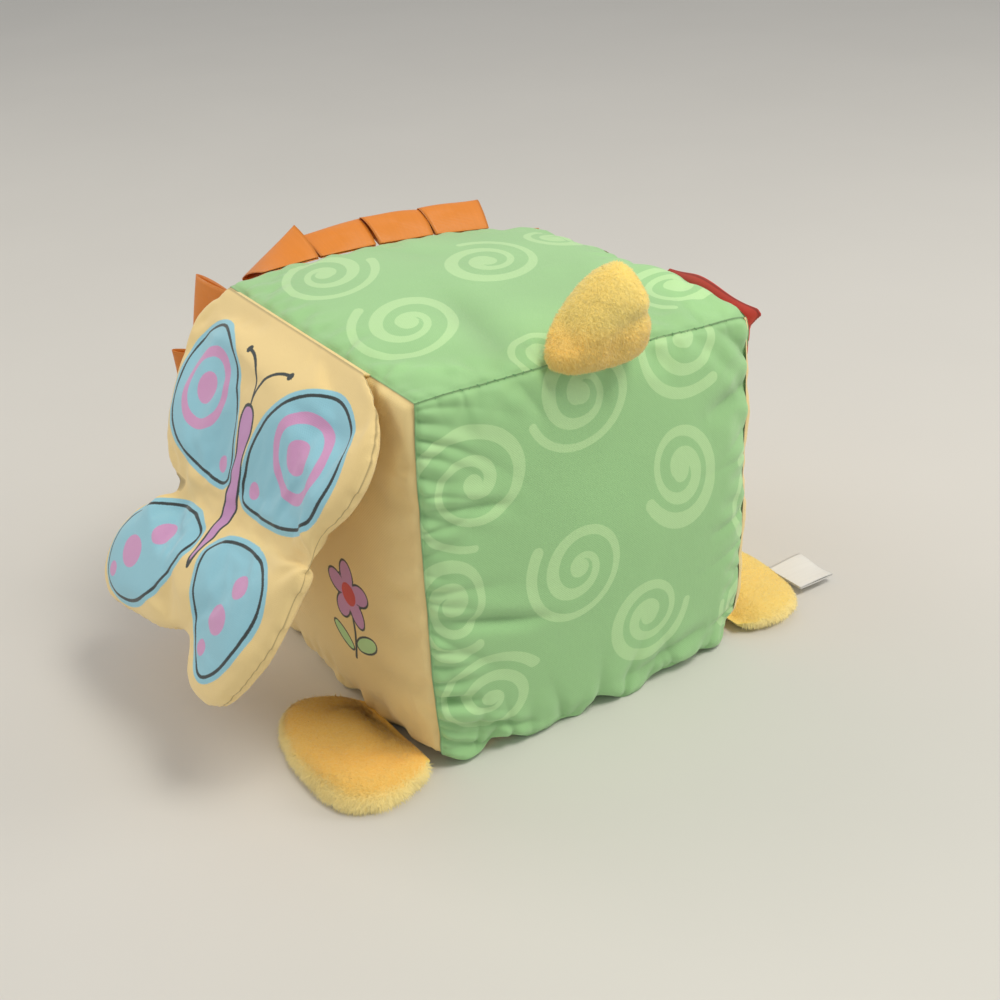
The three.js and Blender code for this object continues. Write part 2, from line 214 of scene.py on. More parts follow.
def placed(first, second, third, origin):
    """The matrix that takes a form's own three directions and its origin to these."""
    place = np.eye(4)
    place[:3] = np.stack([first, second, third, origin], axis=1)
    return Matrix(place.tolist())


def dressed(obj, paint, body=None, nodes=(), place=None):
    """A piece in its place, with its material and its body, and with the nodes that it stands for hidden."""
    if place is not None:
        obj.data.transform(place)
        obj.data.update()
    obj.data.materials.append(paint)
    if body:
        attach(obj, body)
    if nodes:
        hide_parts(*nodes)
    return obj


# Materials
FRAY = 0.12 * MM


class Paint:
    """A material's node tree, with short calls to add and join nodes."""

    def __init__(self, name, roughness, sheen=0.0, sheen_roughness=0.5, specular=0.5, anisotropic=0.0):
        self.material = bpy.data.materials.new(name)
        self.material.use_nodes = True
        self.tree = self.material.node_tree
        self.shader = self.tree.nodes["Principled BSDF"]
        values = {"Roughness": roughness, "Sheen Weight": sheen, "Sheen Roughness": sheen_roughness,
                  "Specular IOR Level": specular, "Anisotropic": anisotropic}
        for key, value in values.items():
            self.shader.inputs[key].default_value = value

    def node(self, kind, values=None, **settings):
        node = self.tree.nodes.new("ShaderNode" + kind)
        for key, value in settings.items():
            setattr(node, key, value)
        for key, value in (values or {}).items():
            if isinstance(value, bpy.types.NodeSocket):
                self.tree.links.new(value, node.inputs[key])
            else:
                node.inputs[key].default_value = value
        return node

    def math(self, operation, a, b=0.0):
        return self.node("Math", {0: a, 1: b}, operation=operation).outputs[0]

    def attribute(self, name, output="Fac"):
        return self.node("Attribute", attribute_name=name).outputs[output]

    def noise(self, vector, scale, detail=2.0, roughness=0.5):
        values = {"Vector": vector, "Scale": scale, "Detail": detail, "Roughness": roughness}
        return self.node("TexNoise", values).outputs["Fac"]

    def span(self, value, low, high, to_low=0.0, to_high=1.0):
        values = {"Value": value, "From Min": low, "From Max": high, "To Min": to_low, "To Max": to_high}
        return self.node("MapRange", values).outputs["Result"]

    def mix(self, factor, a, b, blend_type="MIX"):
        values = {"Factor": factor, 6: a, 7: b}
        return self.node("Mix", values, data_type="RGBA", blend_type=blend_type).outputs[2]

    def bumped(self, height, distance, strength=1.0, normal=None):
        values = {"Height": height, "Distance": distance, "Strength": strength}
        if normal is not None:
            values["Normal"] = normal
        return self.node("Bump", values).outputs["Normal"]

    def joined(self, **values):
        """The material, with these values joined to its shader."""
        for key, value in values.items():
            self.tree.links.new(value, self.shader.inputs[key.replace("_", " ")])
        return self.material


def woven(paint, flat, pitch, depth, normal):
    """Bump of a plain weave: two crossing sets of threads that pass over each other."""
    across = paint.node("SeparateXYZ", {"Vector": flat})
    beats = (paint.math("MULTIPLY", across.outputs[i], math.pi / pitch) for i in (0, 1))
    warp, weft = (paint.math("SINE", beat) for beat in beats)
    threads = paint.math("MULTIPLY", paint.math("MULTIPLY", warp, weft), 0.5)
    height = paint.math("ADD", threads, paint.noise(flat, 900.0, 3.0))
    return paint.bumped(height, depth, 1.0, normal)


def cloth_paint(name, colour, prints=(), roughness=0.75, sheen=0.25, pitch=0.42 * MM, depth=0.05 * MM,
                shade=0.08):
    """Woven cloth in one colour with printed shapes over it.

    Each print is (shape, colour) for a filled shape, or (shape, colour, inset, width) for a line drawn along
    the shape's edge, that far inside it. A shape is an attribute, or a function that adds its nodes.
    """
    paint = Paint(name, roughness, sheen)
    flat = paint.attribute("flat", "Vector")
    place = paint.node("TexCoord").outputs["Object"]
    cloudy = paint.noise(place, 28.0, 3.0)
    shown = paint.mix(cloudy, toned(colour, 1 - shade), toned(colour, 1 + shade))
    frayed = paint.span(paint.noise(flat, 2600.0, 2.0), 0.3, 0.7, -FRAY, FRAY)
    for shape, printed, *drawn in prints:
        edge = shape(paint, flat) if callable(shape) else paint.attribute(shape)
        if drawn:
            inset, line_width = drawn
            edge = paint.math("ABSOLUTE", paint.math("ADD", edge, inset))
            edge = paint.math("SUBTRACT", edge, line_width / 2)
        inside = paint.span(paint.math("ADD", edge, frayed), FRAY, -FRAY)
        shown = paint.mix(inside, shown, paint.mix(cloudy, printed, toned(printed, 1.06)))
    # Painted shade darkens the stitched seams and the valleys of the creases, and a painted highlight makes
    # the cloth paler on the ridges between the creases.
    seam = paint.span(paint.math("ABSOLUTE", paint.attribute("seam")), 0.0, 0.8 * MM, 0.5, 1.0)
    seam = paint.math("MULTIPLY", seam, paint.span(paint.attribute("crease"), -0.5, 1.0, 1.06, 0.8))
    painted_shading = paint.node("CombineColor", dict.fromkeys(range(3), seam)).outputs[0]
    shown = paint.mix(1.0, shown, painted_shading, "MULTIPLY")
    creased = paint.bumped(paint.noise(place, 60.0, 4.0, 0.6), 0.5 * MM, 0.6)
    return paint.joined(
        Base_Color=shown, Roughness=paint.span(cloudy, 0.3, 0.7, roughness - 0.06, roughness + 0.06),
        Normal=woven(paint, flat, pitch, depth, creased),
    )


def plush_paint(name, colour, deep, tip):
    """Short pile: paler at the tips, with painted shade mixed in where the deep attribute says, and soft
    brushed patches.
    """
    paint = Paint(name, 0.85, 0.35, 0.4, 0.15)
    place = paint.node("TexCoord").outputs["Object"]
    brushed = paint.noise(place, 45.0, 4.0, 0.6)
    pile = paint.noise(place, 900.0, 4.0, 0.7)
    shown = paint.mix(paint.span(brushed, 0.3, 0.7), toned(colour, 0.9), colour)
    # Painted shade: the deep attribute mixes the pile towards its shaded tone.
    shown = paint.mix(paint.attribute("deep"), shown, deep)
    shown = paint.mix(paint.math("MULTIPLY", pile, 0.25), shown, tip)
    shown = paint.mix(paint.attribute("tip"), shown, tip)
    soft = paint.bumped(brushed, 1.2 * MM, 0.5)
    return paint.joined(Base_Color=shown, Roughness=paint.span(pile, 0.2, 0.8, 0.75, 0.95),
                        Normal=paint.bumped(pile, 0.5 * MM, 0.8, soft))


def satin_paint(name, colour):
    """Satin ribbon: fine ribs across the width, a long soft highlight and slightly darker woven edges."""
    paint = Paint(name, 0.38, 0.15, 0.3, 0.55, 0.5)
    flat = paint.attribute("flat", "Vector")
    across = paint.node("SeparateXYZ", {"Vector": flat})
    ribs = paint.math("SINE", paint.math("MULTIPLY", across.outputs[1], 2 * math.pi / (0.5 * MM)))
    streaks = paint.noise(paint.node("Mapping", {"Vector": flat, "Scale": (900, 40, 1)}).outputs[0], 1.0, 3.0)
    edge = paint.span(paint.attribute("edge"), 0.4 * MM, 1.2 * MM)
    shown = paint.mix(edge, toned(colour, 0.8), paint.mix(streaks, toned(colour, 0.88), colour))
    uneven = paint.bumped(paint.noise(flat, 120.0, 3.0), 0.4 * MM, 0.5)
    return paint.joined(Base_Color=shown, Roughness=paint.span(streaks, 0.2, 0.8, 0.3, 0.46),
                        Normal=paint.bumped(ribs, 0.03 * MM, 0.6, uneven))


GREEN = srgb(160, 211, 144)
SWIRL = srgb(184, 227, 162)
CREAM = srgb(249, 221, 155)
AQUA = srgb(150, 208, 226)
PINK = srgb(216, 158, 204)
MAUVE = srgb(206, 150, 202)
INK = srgb(44, 56, 58)
RED = srgb(216, 72, 66)
YELLOW = srgb(254, 232, 130)
# A deeper tone of the yellow plush, painted where the plush lies in shade
PAINTED_SHADE_GOLD = srgb(243, 194, 72)
FRINGE = srgb(255, 238, 172)
ORANGE = srgb(236, 140, 46)
WHITE = srgb(244, 243, 238)
THREAD = srgb(108, 170, 112)

# The butterfly flap's size, and the lines and circles of its print
BUTTERFLY_TILT = math.radians(30)
BUTTERFLY_SPAN = 141 * MM
BUTTERFLY_LENGTH = 137 * MM
BUTTERFLY_SHIFT = -1.5 * MM
LINE_WIDTH = 1.25 * MM
WING_INSET = 2.4 * MM
RING_WIDTH = 4.2 * MM
RING_PLACE = (37.4 * MM, -36.3 * MM)
RING_REACH = 14 * MM
FEELER_REACH = 16 * MM
FEELER_FOOT = -30 * MM
FEELER_DOT = 1.5 * MM
MOTIF_LINE = 0.8 * MM


def from_point(paint, flat, place):
    """How far the cloth's points are from one drawn point, given in metres on the flap."""
    there = (BUTTERFLY_SHIFT + place[0], place[1], 0.0)
    return paint.node("VectorMath", {0: flat, 1: there}, operation="DISTANCE").outputs["Value"]


def wing_rings(paint, flat):
    """The edge of a circle on each upper wing."""
    near = [from_point(paint, flat, (side * RING_PLACE[0], RING_PLACE[1])) for side in (-1, 1)]
    edge = paint.math("SUBTRACT", paint.math("MINIMUM", *near), RING_REACH)
    return paint.math("ADD", edge, paint.attribute("back"))


def feelers(paint, flat):
    """Two thin arcs that end in dots."""
    shapes = []
    for side in (-1, 1):
        bend = from_point(paint, flat, (side * FEELER_REACH, FEELER_FOOT))
        bend = paint.math("ABSOLUTE", paint.math("SUBTRACT", bend, FEELER_REACH))
        line = paint.math("SUBTRACT", bend, LINE_WIDTH / 2)
        half = (side * FEELER_REACH / 2, FEELER_FOOT + FEELER_REACH / 2)
        kept = paint.math("SUBTRACT", from_point(paint, flat, half), FEELER_REACH * 0.76)
        end = (side * FEELER_REACH, FEELER_FOOT + FEELER_REACH)
        dot = paint.math("SUBTRACT", from_point(paint, flat, end), FEELER_DOT)
        shapes.append(paint.math("MINIMUM", paint.math("MAXIMUM", line, kept), dot))
    return paint.math("ADD", paint.math("MINIMUM", *shapes), paint.attribute("back"))


FLOWER_PRINT = [("stalk", INK), ("leaf", SWIRL), ("leaf", INK, 0.0, MOTIF_LINE), ("petals", MAUVE),
                ("petals", INK, 0.0, MOTIF_LINE), ("heart", RED)]
BUTTERFLY_PRINT = [("wings", AQUA), (wing_rings, PINK, 0.0, RING_WIDTH), ("dots", PINK),
                   ("wings", INK, WING_INSET, LINE_WIDTH), (feelers, INK), ("body", MAUVE),
                   ("body", INK, 0.0, LINE_WIDTH)]
green_cloth = cloth_paint("green_printed_cloth", GREEN, [("swirls", SWIRL)], 0.62, 0.3)
cream_cloth = cloth_paint("cream_cloth", CREAM, [], 0.8, 0.25, 0.5 * MM, 0.06 * MM)
motif_cloth = cloth_paint("cream_printed_cloth", CREAM, FLOWER_PRINT, 0.8, 0.25, 0.5 * MM, 0.06 * MM)
butterfly_cloth = cloth_paint("butterfly_printed_cloth", CREAM, BUTTERFLY_PRINT, 0.72, 0.25, 0.4 * MM,
                              0.04 * MM, 0.05)
red_cloth = cloth_paint("red_cloth", RED, [], 0.75, 0.3)
yellow_plush = plush_paint("yellow_plush", YELLOW, PAINTED_SHADE_GOLD, FRINGE)
orange_satin = satin_paint("orange_satin", ORANGE)
label_satin = satin_paint("label_satin", WHITE)
thread_paint = cloth_paint("green_thread", THREAD, [], 0.6, 0.2, 0.3 * MM, 0.05 * MM)

# Drawn shapes: distances in metres, below zero inside
SWIRL_TURNS = 2.25
SWIRL_STROKE = 2.4 * MM


def between(a, b, c, d, t):
    """Catmull and Rom's spline from b to c, with a before them and d after them."""
    return 0.5 * (2 * b + (c - a) * t + (2 * a - 5 * b + 4 * c - d) * t**2 + (3 * b - a - 3 * c + d) * t**3)


def curve_through(points, count, closed=False):
    points = np.asarray(points, float)
    padded = np.vstack([points[-1], points, points[:2]] if closed else [points[0], points, points[-1]])
    segments = len(padded) - 3
    at = np.linspace(0, segments, count, endpoint=not closed)
    number = np.minimum(at.astype(int), segments - 1)
    return between(*(padded[number + i] for i in range(4)), (at - number)[:, None])


def line_distance(flat, line, closed=False):
    """Distance from each flat point to a drawn line."""
    starts = line if closed else line[:-1]
    ends = np.roll(line, -1, axis=0) if closed else line[1:]
    best = np.full(len(flat), np.inf)
    for start, end in zip(starts, ends):
        along = end - start
        share = np.clip((flat - start) @ along / max(along @ along, 1e-18), 0, 1)
        best = np.minimum(best, np.linalg.norm(flat - start - share[:, None] * along, axis=1))
    return best


def shape_distance(flat, ring):
    inside = np.zeros(len(flat), bool)
    for start, end in zip(ring, np.roll(ring, -1, axis=0)):
        crosses = (start[1] > flat[:, 1]) != (end[1] > flat[:, 1])
        rise = end[1] - start[1]
        x = start[0] + (flat[:, 1] - start[1]) * (end[0] - start[0]) / (rise if abs(rise) > 1e-15 else 1e-15)
        inside ^= crosses & (flat[:, 0] < x)
    distance = line_distance(flat, ring, closed=True)
    return np.where(inside, -distance, distance)


def from_centre(flat, centre, squash, turn):
    """Flat points as seen from a centre, turned, and with their second direction divided by squash."""
    offset = flat - np.asarray(centre)
    x = offset[:, 0] * math.cos(turn) + offset[:, 1] * math.sin(turn)
    y = (offset[:, 1] * math.cos(turn) - offset[:, 0] * math.sin(turn)) / squash
    return x, y, np.hypot(x, y)


def oval_distance(flat, centre, reach, squash=1.0, turn=0.0):
    """About the distance to an oval's edge."""
    x, y, radius = from_centre(flat, centre, squash, turn)
    return (radius - reach) * radius / np.maximum(np.hypot(x, y / squash), 1e-9)


def swirl_distance(flat, centre, reach, turn, wind, squash, tilt):
    """Distance to one painted spiral. It winds out from its centre and ends at the angle turn."""
    x, y, radius = from_centre(flat, centre, squash, tilt)
    end = 2 * math.pi * SWIRL_TURNS
    angle = np.mod(wind * (np.arctan2(y, x) - turn) + end, 2 * math.pi)
    best = radius - 1.5 * SWIRL_STROKE
    for lap in range(math.ceil(SWIRL_TURNS) + 1):
        theta = angle + 2 * math.pi * lap
        wobble = 1 + 0.05 * np.sin(2 * theta + 7 * reach / MM)
        gap = np.abs(radius - reach * wobble * (theta / end) ** 0.92)
        width = SWIRL_STROKE * (0.8 + 0.25 * np.sin(theta * 0.8 + reach / MM))
        over = np.maximum(theta - end, 0) * radius
        best = np.minimum(best, np.hypot(gap, over) - width)
    return best


# The stuffed cube


def corner_pulled(points):
    """Points moved with the top corner by the red flap, which is pulled a little outwards."""
    corner = np.array([HALF, HALF, 2 * HALF + CORNER_LIFT])
    near = np.linalg.norm(points - corner, axis=1) / CORNER_REACH
    return points + bump(near)[:, None] * CORNER_PULL


def skin(cube):
    """Points of the crowned and bowed skin, for points of the cube from -1 to 1, as the solids have them."""
    cube = np.asarray(cube)
    share = np.abs(cube) ** CROWN_POWER
    pairs = share[:, 0] * share[:, 1] + share[:, 1] * share[:, 2] + share[:, 2] * share[:, 0]
    corner = share.prod(axis=1)
    swell = SIDE_CROWN - (SIDE_CROWN - SEAM_BOW) * pairs + (2 * SIDE_CROWN - 3 * SEAM_BOW) * corner
    points = cube * (HALF + swell)[:, None]
    points[:, 2] += CORNER_LIFT + HALF - TOP_SLOUCH * cube[:, 1] * (cube[:, 2] + 1) / 2
    points[:, 2] = np.maximum(points[:, 2], 0)
    return corner_pulled(points)


def outward(cube):
    """Which way the cloth stands out at a point of the cube. It is the same from both sides of a seam."""
    return unit(np.sign(cube) * np.abs(cube) ** 9)


def on_cube(side, u, v):
    """The cube's points for a side's own two directions. Past 1 a side goes on round its edge."""
    one = 1 - np.maximum(np.maximum(np.abs(u), np.abs(v)) - 1, 0)
    u, v = np.clip(u, -1, 1), np.clip(v, -1, 1)
    return np.stack({
        "top_panel": (u, v, one),
        "bottom_panel": (u, -v, -one),
        "tail_panel": (one, u, v),
        "face_panel": (-one, -u, v),
        "butterfly_side_panel": (u, -one, v),
        "far_side_panel": (-u, one, v),
    }[side], axis=-1)


def crease_profile(offset):
    """Across a crease: a narrow valley between two low shoulders."""
    return np.exp(-offset**1.5) - 0.42 * bump(offset / 2.4)


def gathers(along, away, count, depth, reach, seed, slope=0.0):
    """Short creases that run in from a seam, about at right angles to it, and die out in the cloth."""
    random = np.random.default_rng(seed)
    relief = np.zeros_like(along)
    for i in range(count):
        place = (2 * (i + random.uniform(0.1, 0.9)) / count - 1) * HALF
        width = random.uniform(0.9, 1.8) * MM
        length = reach * random.uniform(0.35, 1.25)
        slant, bend = random.normal(slope, 0.2), random.normal(0, 0.15)
        middle = place + slant * away + bend * away**2 / reach
        offset = np.abs(along - middle) / (width * (1 + 1.5 * away / length))
        rise = (1 - np.exp(-away / (1.2 * MM))) * bump(away / length)
        relief -= depth * random.uniform(0.35, 1) * rise * crease_profile(offset)
    return relief


def soft_fold(flat, start, end, width, depth):
    """A long fold between two flat points, deepest in its middle."""
    start, end = np.asarray(start) * HALF, np.asarray(end) * HALF
    along = end - start
    share = (flat - start) @ along / (along @ along)
    near = np.linalg.norm(flat - start - np.clip(share, 0, 1)[:, None] * along, axis=1)
    return -depth * crease_profile(near / width) * np.sin(math.pi * np.clip(share, 0.04, 0.96))


# For each side, the gathers along its left, right, lower and upper seams: (count, depth in mm, reach in mm),
# and a slope where they lean
GATHERS = {
    "top_panel": [(9, 0.6, 12), (9, 1.2, 20), (12, 0.9, 14), (10, 0.6, 12)],
    "tail_panel": [(24, 2.6, 24, -0.15), (11, 1.5, 18), (15, 2.0, 17), (12, 1.1, 9)],
    "face_panel": [(16, 0.8, 16), (16, 0.8, 16), (12, 0.8, 14), (12, 0.8, 14)],
    "bottom_panel": [(10, 0.6, 14)] * 4,
    "butterfly_side_panel": [(12, 0.8, 16), (10, 0.4, 14), (9, 0.9, 18), (10, 0.6, 14)],
    "far_side_panel": [(12, 0.8, 16), (12, 0.8, 16), (9, 0.9, 18), (10, 0.6, 14)],
}
# For each side, its long folds: (start shares, end shares, width in mm, depth in mm)
FOLDS = {
    "top_panel": [
        ((0.0, -0.2), (1.0, -0.42), 8, 3.2), ((0.62, -0.98), (0.93, -0.60), 5, -2.0),
        ((0.6, 0.1), (0.98, 0.34), 8, 1.0), ((-0.9, -0.2), (-0.3, 0.1), 10, 0.8),
        ((0.0, 0.82), (1.04, 0.84), 13, -6.5),
    ],
    "tail_panel": [
        ((-1.02, 0.46), (-0.5, 0.38), 2.6, 3.0), ((-1.02, -0.10), (-0.3, -0.29), 3.0, 3.6),
        ((-1.02, -0.58), (-0.72, -0.64), 2.2, 2.6), ((-0.95, -0.75), (-0.38, -0.92), 2.4, 3.4),
        ((-1.02, -0.86), (-0.6, -1.04), 2.2, 2.2), ((0.62, 0.50), (1.03, 0.62), 5, 3.4),
        ((0.1, -0.88), (0.75, -0.78), 4, 2.4), ((0.72, 0.98), (1.03, 0.72), 3.5, 2.6),
        ((0.66, -0.2), (1.02, -0.14), 3, 1.6), ((-0.45, 0.99), (-0.30, 0.72), 3, 1.8),
    ],
    "face_panel": [((-0.9, 0.3), (-0.2, 0.1), 9, 1.2), ((0.2, -0.5), (0.9, -0.6), 9, 1.2)],
    "bottom_panel": [],
    "butterfly_side_panel": [
        ((0.35, -0.62), (0.97, -0.5), 8, 1.4), ((0.3, -0.2), (0.95, -0.3), 9, 0.9),
        ((0.5, 0.55), (0.97, 0.35), 8, 1.3),
    ],
    "far_side_panel": [((-0.9, 0.2), (-0.3, 0.0), 9, 1.2), ((0.1, -0.5), (0.9, -0.4), 9, 1.2)],
}
# Where a side's cloth ends past its own edge, as (left, right, lower, upper) shares: the seams don't all lie
# just on the block's edges
EXTENTS = {"tail_panel": (-1, 1, -1.12, 1), "far_side_panel": (-1.03, 1, -1, 1)}
OVERLAP = 0.5 * MM
SEAM_DEPTH = 1.3 * MM
SEAM_WIDTH = 2.2 * MM
EDGE_WAVE = 1.1 * MM
EDGE_WIDTH = 7 * MM
BILLOW_CAP = 5 * MM
BILLOW_SHARE = 0.5


def pucker(cube):
    """The seams' own small waves, so that an edge isn't a ruled line."""
    shares = np.sort(np.abs(cube), axis=1)
    from_seam = (1 - shares[:, 1]) * HALF
    x, y, z = cube.T * HALF / MM
    wave = np.sin(x / 4.1 + 0.7 * z / 9) * np.sin(y / 3.7 + 1.1)
    wave += 0.8 * np.sin((x + y + z) / 6.3 + np.sin(z / 5))
    low = smooth_step(-(cube[:, 2] + 0.4) / 0.6)
    waved = EDGE_WAVE * (0.45 + low) * wave * bump(from_seam / EDGE_WIDTH)
    return waved - SEAM_DEPTH * bump(from_seam / SEAM_WIDTH)


def billow():
    """How far cloth under pressure stands out from the plain skin, on a coarse grid for each side."""
    rows = SIM_CELLS + 1
    shares = np.linspace(-1, 1, rows)
    v, u = (grid.ravel() for grid in np.meshgrid(shares, shares, indexing="ij"))
    every = np.concatenate([on_cube(side, u, v) for side in GATHERS])
    kept, inverse = np.unique(np.round(every, 6), axis=0, return_inverse=True)
    inverse = inverse.reshape(len(GATHERS), -1)
    points = skin(kept)
    faces = np.concatenate([numbers[grid_faces(rows, rows)] for numbers in inverse])
    ball = mesh_object("billow", points, faces)
    edge = np.sort(np.abs(kept), axis=1)[:, 1]
    stuffed(ball, BILLOW_CAP, pressure=4.0, slack=0.05, held=edge > 0.999, bend=0.2)
    away = ((points_of(ball) - points) * outward(kept)).sum(axis=1)
    bpy.data.objects.remove(ball)
    return {side: away[numbers].reshape(rows, rows) for side, numbers in zip(GATHERS, inverse)}


def resampled(coarse, count):
    """A square grid of values drawn smoothly at a finer spacing."""
    last = len(coarse) - 1
    at = np.clip(np.linspace(0, 1, count) * last, 0, last - 1e-9)
    base = at.astype(int)

    def smooth_rows(values):
        return between(*(values[np.clip(base + i, 0, last)] for i in (-1, 0, 1, 2)), (at - base)[:, None])

    return smooth_rows(smooth_rows(coarse).T).T


def side_surface(side, u, v):
    """Points of one dressed side for its own shares u and v, and how deep its creases are."""
    cube = on_cube(side, u, v)
    flat = np.stack([u, v], axis=1) * HALF
    edge = np.maximum(np.abs(u), np.abs(v))
    relief = np.zeros_like(u)
    seams = [(v, 1 + u), (v, 1 - u), (u, 1 + v), (u, 1 - v)]
    for number, ((along, away), (count, depth, reach, *slope)) in enumerate(zip(seams, GATHERS[side])):
        seed = 10 * list(GATHERS).index(side) + number
        away = np.maximum(away, 0) * HALF
        relief += gathers(along * HALF, away, count, depth * MM, reach * MM, seed, *slope)
    for start, end, width, depth in FOLDS[side]:
        relief += soft_fold(flat, start, end, width * MM, depth * MM)
    relief *= smooth_step(1 - np.maximum(edge - 1, 0) * HALF / MM)
    lapped = OVERLAP * smooth_step((edge - 0.99) / 0.01) * (side in EXTENTS)
    return cube, flat, relief + pucker(cube) + lapped, np.clip(-relief / (2 * MM), -0.5, 1)


def panel(side, material):
    cells = (SHOWN_CELLS if side == "tail_panel" else PANEL_CELLS) + 1
    left, right, lower, upper = EXTENTS.get(side, (-1, 1, -1, 1))
    across, up = np.linspace(left, right, cells), np.linspace(lower, upper, cells)
    v, u = (grid.ravel() for grid in np.meshgrid(up, across, indexing="ij"))
    cube, flat, relief, creases = side_surface(side, u, v)
    relief += BILLOW_SHARE * resampled(billows[side], cells).ravel()
    points = skin(cube) + relief[:, None] * outward(cube)
    points[:, 2] = np.maximum(points[:, 2], 0)
    obj = mesh_object(side + "_cloth", points, grid_faces(cells, cells))
    seam = np.minimum.reduce([u - left, right - u, v - lower, upper - v]) * HALF
    # The seam and crease values tell the material where to paint shade in the seams and crease valleys, and a
    # highlight on the ridges.
    store(obj, flat=flat, seam=seam, crease=creases)
    return dressed(obj, material, "block", [side]), flat


# Swirls on the green sides: (centre shares, radius in mm, end angle, wind, squash, tilt)
SWIRLS = {
    "tail_panel": [
        ((-0.72, 0.53), 24.5, 250, 1, 0.95, 20), ((-0.11, 0.82), 19.5, 200, -1, 1.05, 0),
        ((0.52, 0.95), 21.5, 290, 1, 0.9, 10), ((0.46, 0.26), 16.5, 200, -1, 1.3, 10),
        ((-0.16, -0.07), 21, 130, -1, 0.92, 15), ((0.27, -0.51), 17.5, 330, 1, 1.1, 30),
        ((-0.86, -0.06), 17, 300, 1, 1.1, 0), ((-0.69, -0.64), 21, 20, -1, 0.85, 10),
        ((1.02, -0.08), 17, 120, 1, 1.2, 0), ((0.98, -0.74), 12, 160, -1, 1.0, 0),
    ],
    "top_panel": [
        ((-0.55, -0.56), 20, 33, 1, 1.4, 57), ((0.32, -0.58), 20, 153, -1, 1.4, 57),
        ((-0.20, 0.20), 19, 123, 1, 1.4, 57), ((0.90, -0.22), 15, 100, 1, 0.9, 0),
        ((-0.42, 0.80), 14, 40, -1, 1.0, 0), ((0.62, 0.76), 18, 300, 1, 0.9, 20),
    ],
}
FLOWER_PLACE = (0.34, -0.24)


def swirls_on(obj, side, flat):
    shapes = []
    for centre, reach, turn, wind, squash, tilt in SWIRLS[side]:
        place, turn, tilt = np.asarray(centre) * HALF, math.radians(turn), math.radians(tilt)
        shapes.append(swirl_distance(flat, place, reach * MM, turn, wind, squash, tilt))
    store(obj, swirls=np.minimum.reduce(shapes))


def flower_on(obj, flat):
    """A small generic flower on the cream side, in the place of a printed picture."""
    centre = np.array(FLOWER_PLACE) * HALF
    petals = [oval_distance(flat, centre + 7.6 * MM * np.array([math.cos(a), math.sin(a)]), 5.6 * MM, 0.74, a)
              for a in np.radians(np.arange(5) * 72 + 18)]
    stalk = curve_through([centre, centre + [1.5 * MM, -14 * MM], centre + [-1 * MM, -27 * MM]], 14)
    leaf = np.minimum(oval_distance(flat, centre + [8.5 * MM, -17 * MM], 8 * MM, 0.42, math.radians(28)),
                      oval_distance(flat, centre + [-7.5 * MM, -20 * MM], 7 * MM, 0.42, math.radians(-30)))
    store(obj, petals=np.minimum.reduce(petals), heart=oval_distance(flat, centre, 4.4 * MM),
          stalk=line_distance(flat, stalk) - 0.7 * MM, leaf=leaf)


billows = billow()
for side, material in [("top_panel", green_cloth), ("tail_panel", green_cloth),
                       ("butterfly_side_panel", motif_cloth), ("far_side_panel", cream_cloth),
                       ("face_panel", cream_cloth), ("bottom_panel", cream_cloth)]:
    obj, flat = panel(side, material)
    if side in SWIRLS:
        swirls_on(obj, side, flat)
    if material is motif_cloth:
        flower_on(obj, flat)
    if side == "top_panel":
        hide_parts("stuffing_core")

# Pads drawn flat
HINGE_REACH = 0.7 * MM
HINGE_STEP = HINGE_REACH * math.sqrt(0.5)


def pad_form(name, ring, half, voxel):
    """A closed flat slab over an outline, with its half thickness, cut into even small faces."""
    points = np.concatenate([np.c_[ring, np.full(len(ring), z)] for z in (-half, half)])
    return voxel_form(mesh_object(name, points, tube_faces(2, len(ring))), voxel)


def pad_height(flat, full, rim, rise, ring):
    """Half thickness of a stuffed pad: round at its rim and crowned inside."""
    deep = np.maximum(-shape_distance(flat, ring), 0)
    return rim + (full - rim) * np.sqrt(1 - (1 - np.clip(deep / rise, 0, 1)) ** 2)


# Butterfly flap, drawn flat: x along the seam and -y down the flap, as shares of half its span and its length
UPPER_RIGHT = [(0.69, 0), (0.83, 0.04), (0.94, 0.11), (0.99, 0.18), (0.99, 0.26), (0.94, 0.34), (0.87, 0.4)]
UPPER_LEFT = [(-0.7, 0.54), (-0.83, 0.475), (-0.93, 0.35), (-0.97, 0.22), (-0.98, 0.13), (-0.91, 0.05),
              (-0.83, 0)]
LOWER = [(0.86, 0.52), (0.83, 0.61), (0.81, 0.7), (0.735, 0.82), (0.59, 0.94), (0.38, 0.98), (0.205, 0.955),
         (0.08, 0.875), (-0.18, 0.93), (-0.545, 0.98), (-0.83, 0.995), (-0.98, 0.94), (-1, 0.825),
         (-0.885, 0.695), (-0.7, 0.605)]
CREASE_RIGHT = (0.85, 0.468)
CREASE_LEFT = (-0.53, 0.555)
# The print, as shares like the outline: four plain wing patches, a slim body and dots with their radii in mm
WING_UPPER = [(0.06, 0.43), (0.09, 0.32), (0.20, 0.20), (0.38, 0.11), (0.60, 0.075), (0.79, 0.115),
              (0.89, 0.21), (0.88, 0.32), (0.78, 0.41), (0.56, 0.465), (0.30, 0.485), (0.12, 0.48)]
WING_LOWER = [(0.06, 0.62), (0.15, 0.56), (0.34, 0.53), (0.55, 0.53), (0.70, 0.575), (0.73, 0.67),
              (0.67, 0.78), (0.56, 0.87), (0.42, 0.92), (0.29, 0.90), (0.19, 0.83), (0.10, 0.73)]
WING_LOWER_LEFT = [(-0.06, 0.62), (-0.18, 0.57), (-0.38, 0.57), (-0.60, 0.61), (-0.79, 0.685), (-0.90, 0.79),
                   (-0.89, 0.885), (-0.75, 0.94), (-0.52, 0.93), (-0.30, 0.865), (-0.14, 0.75)]
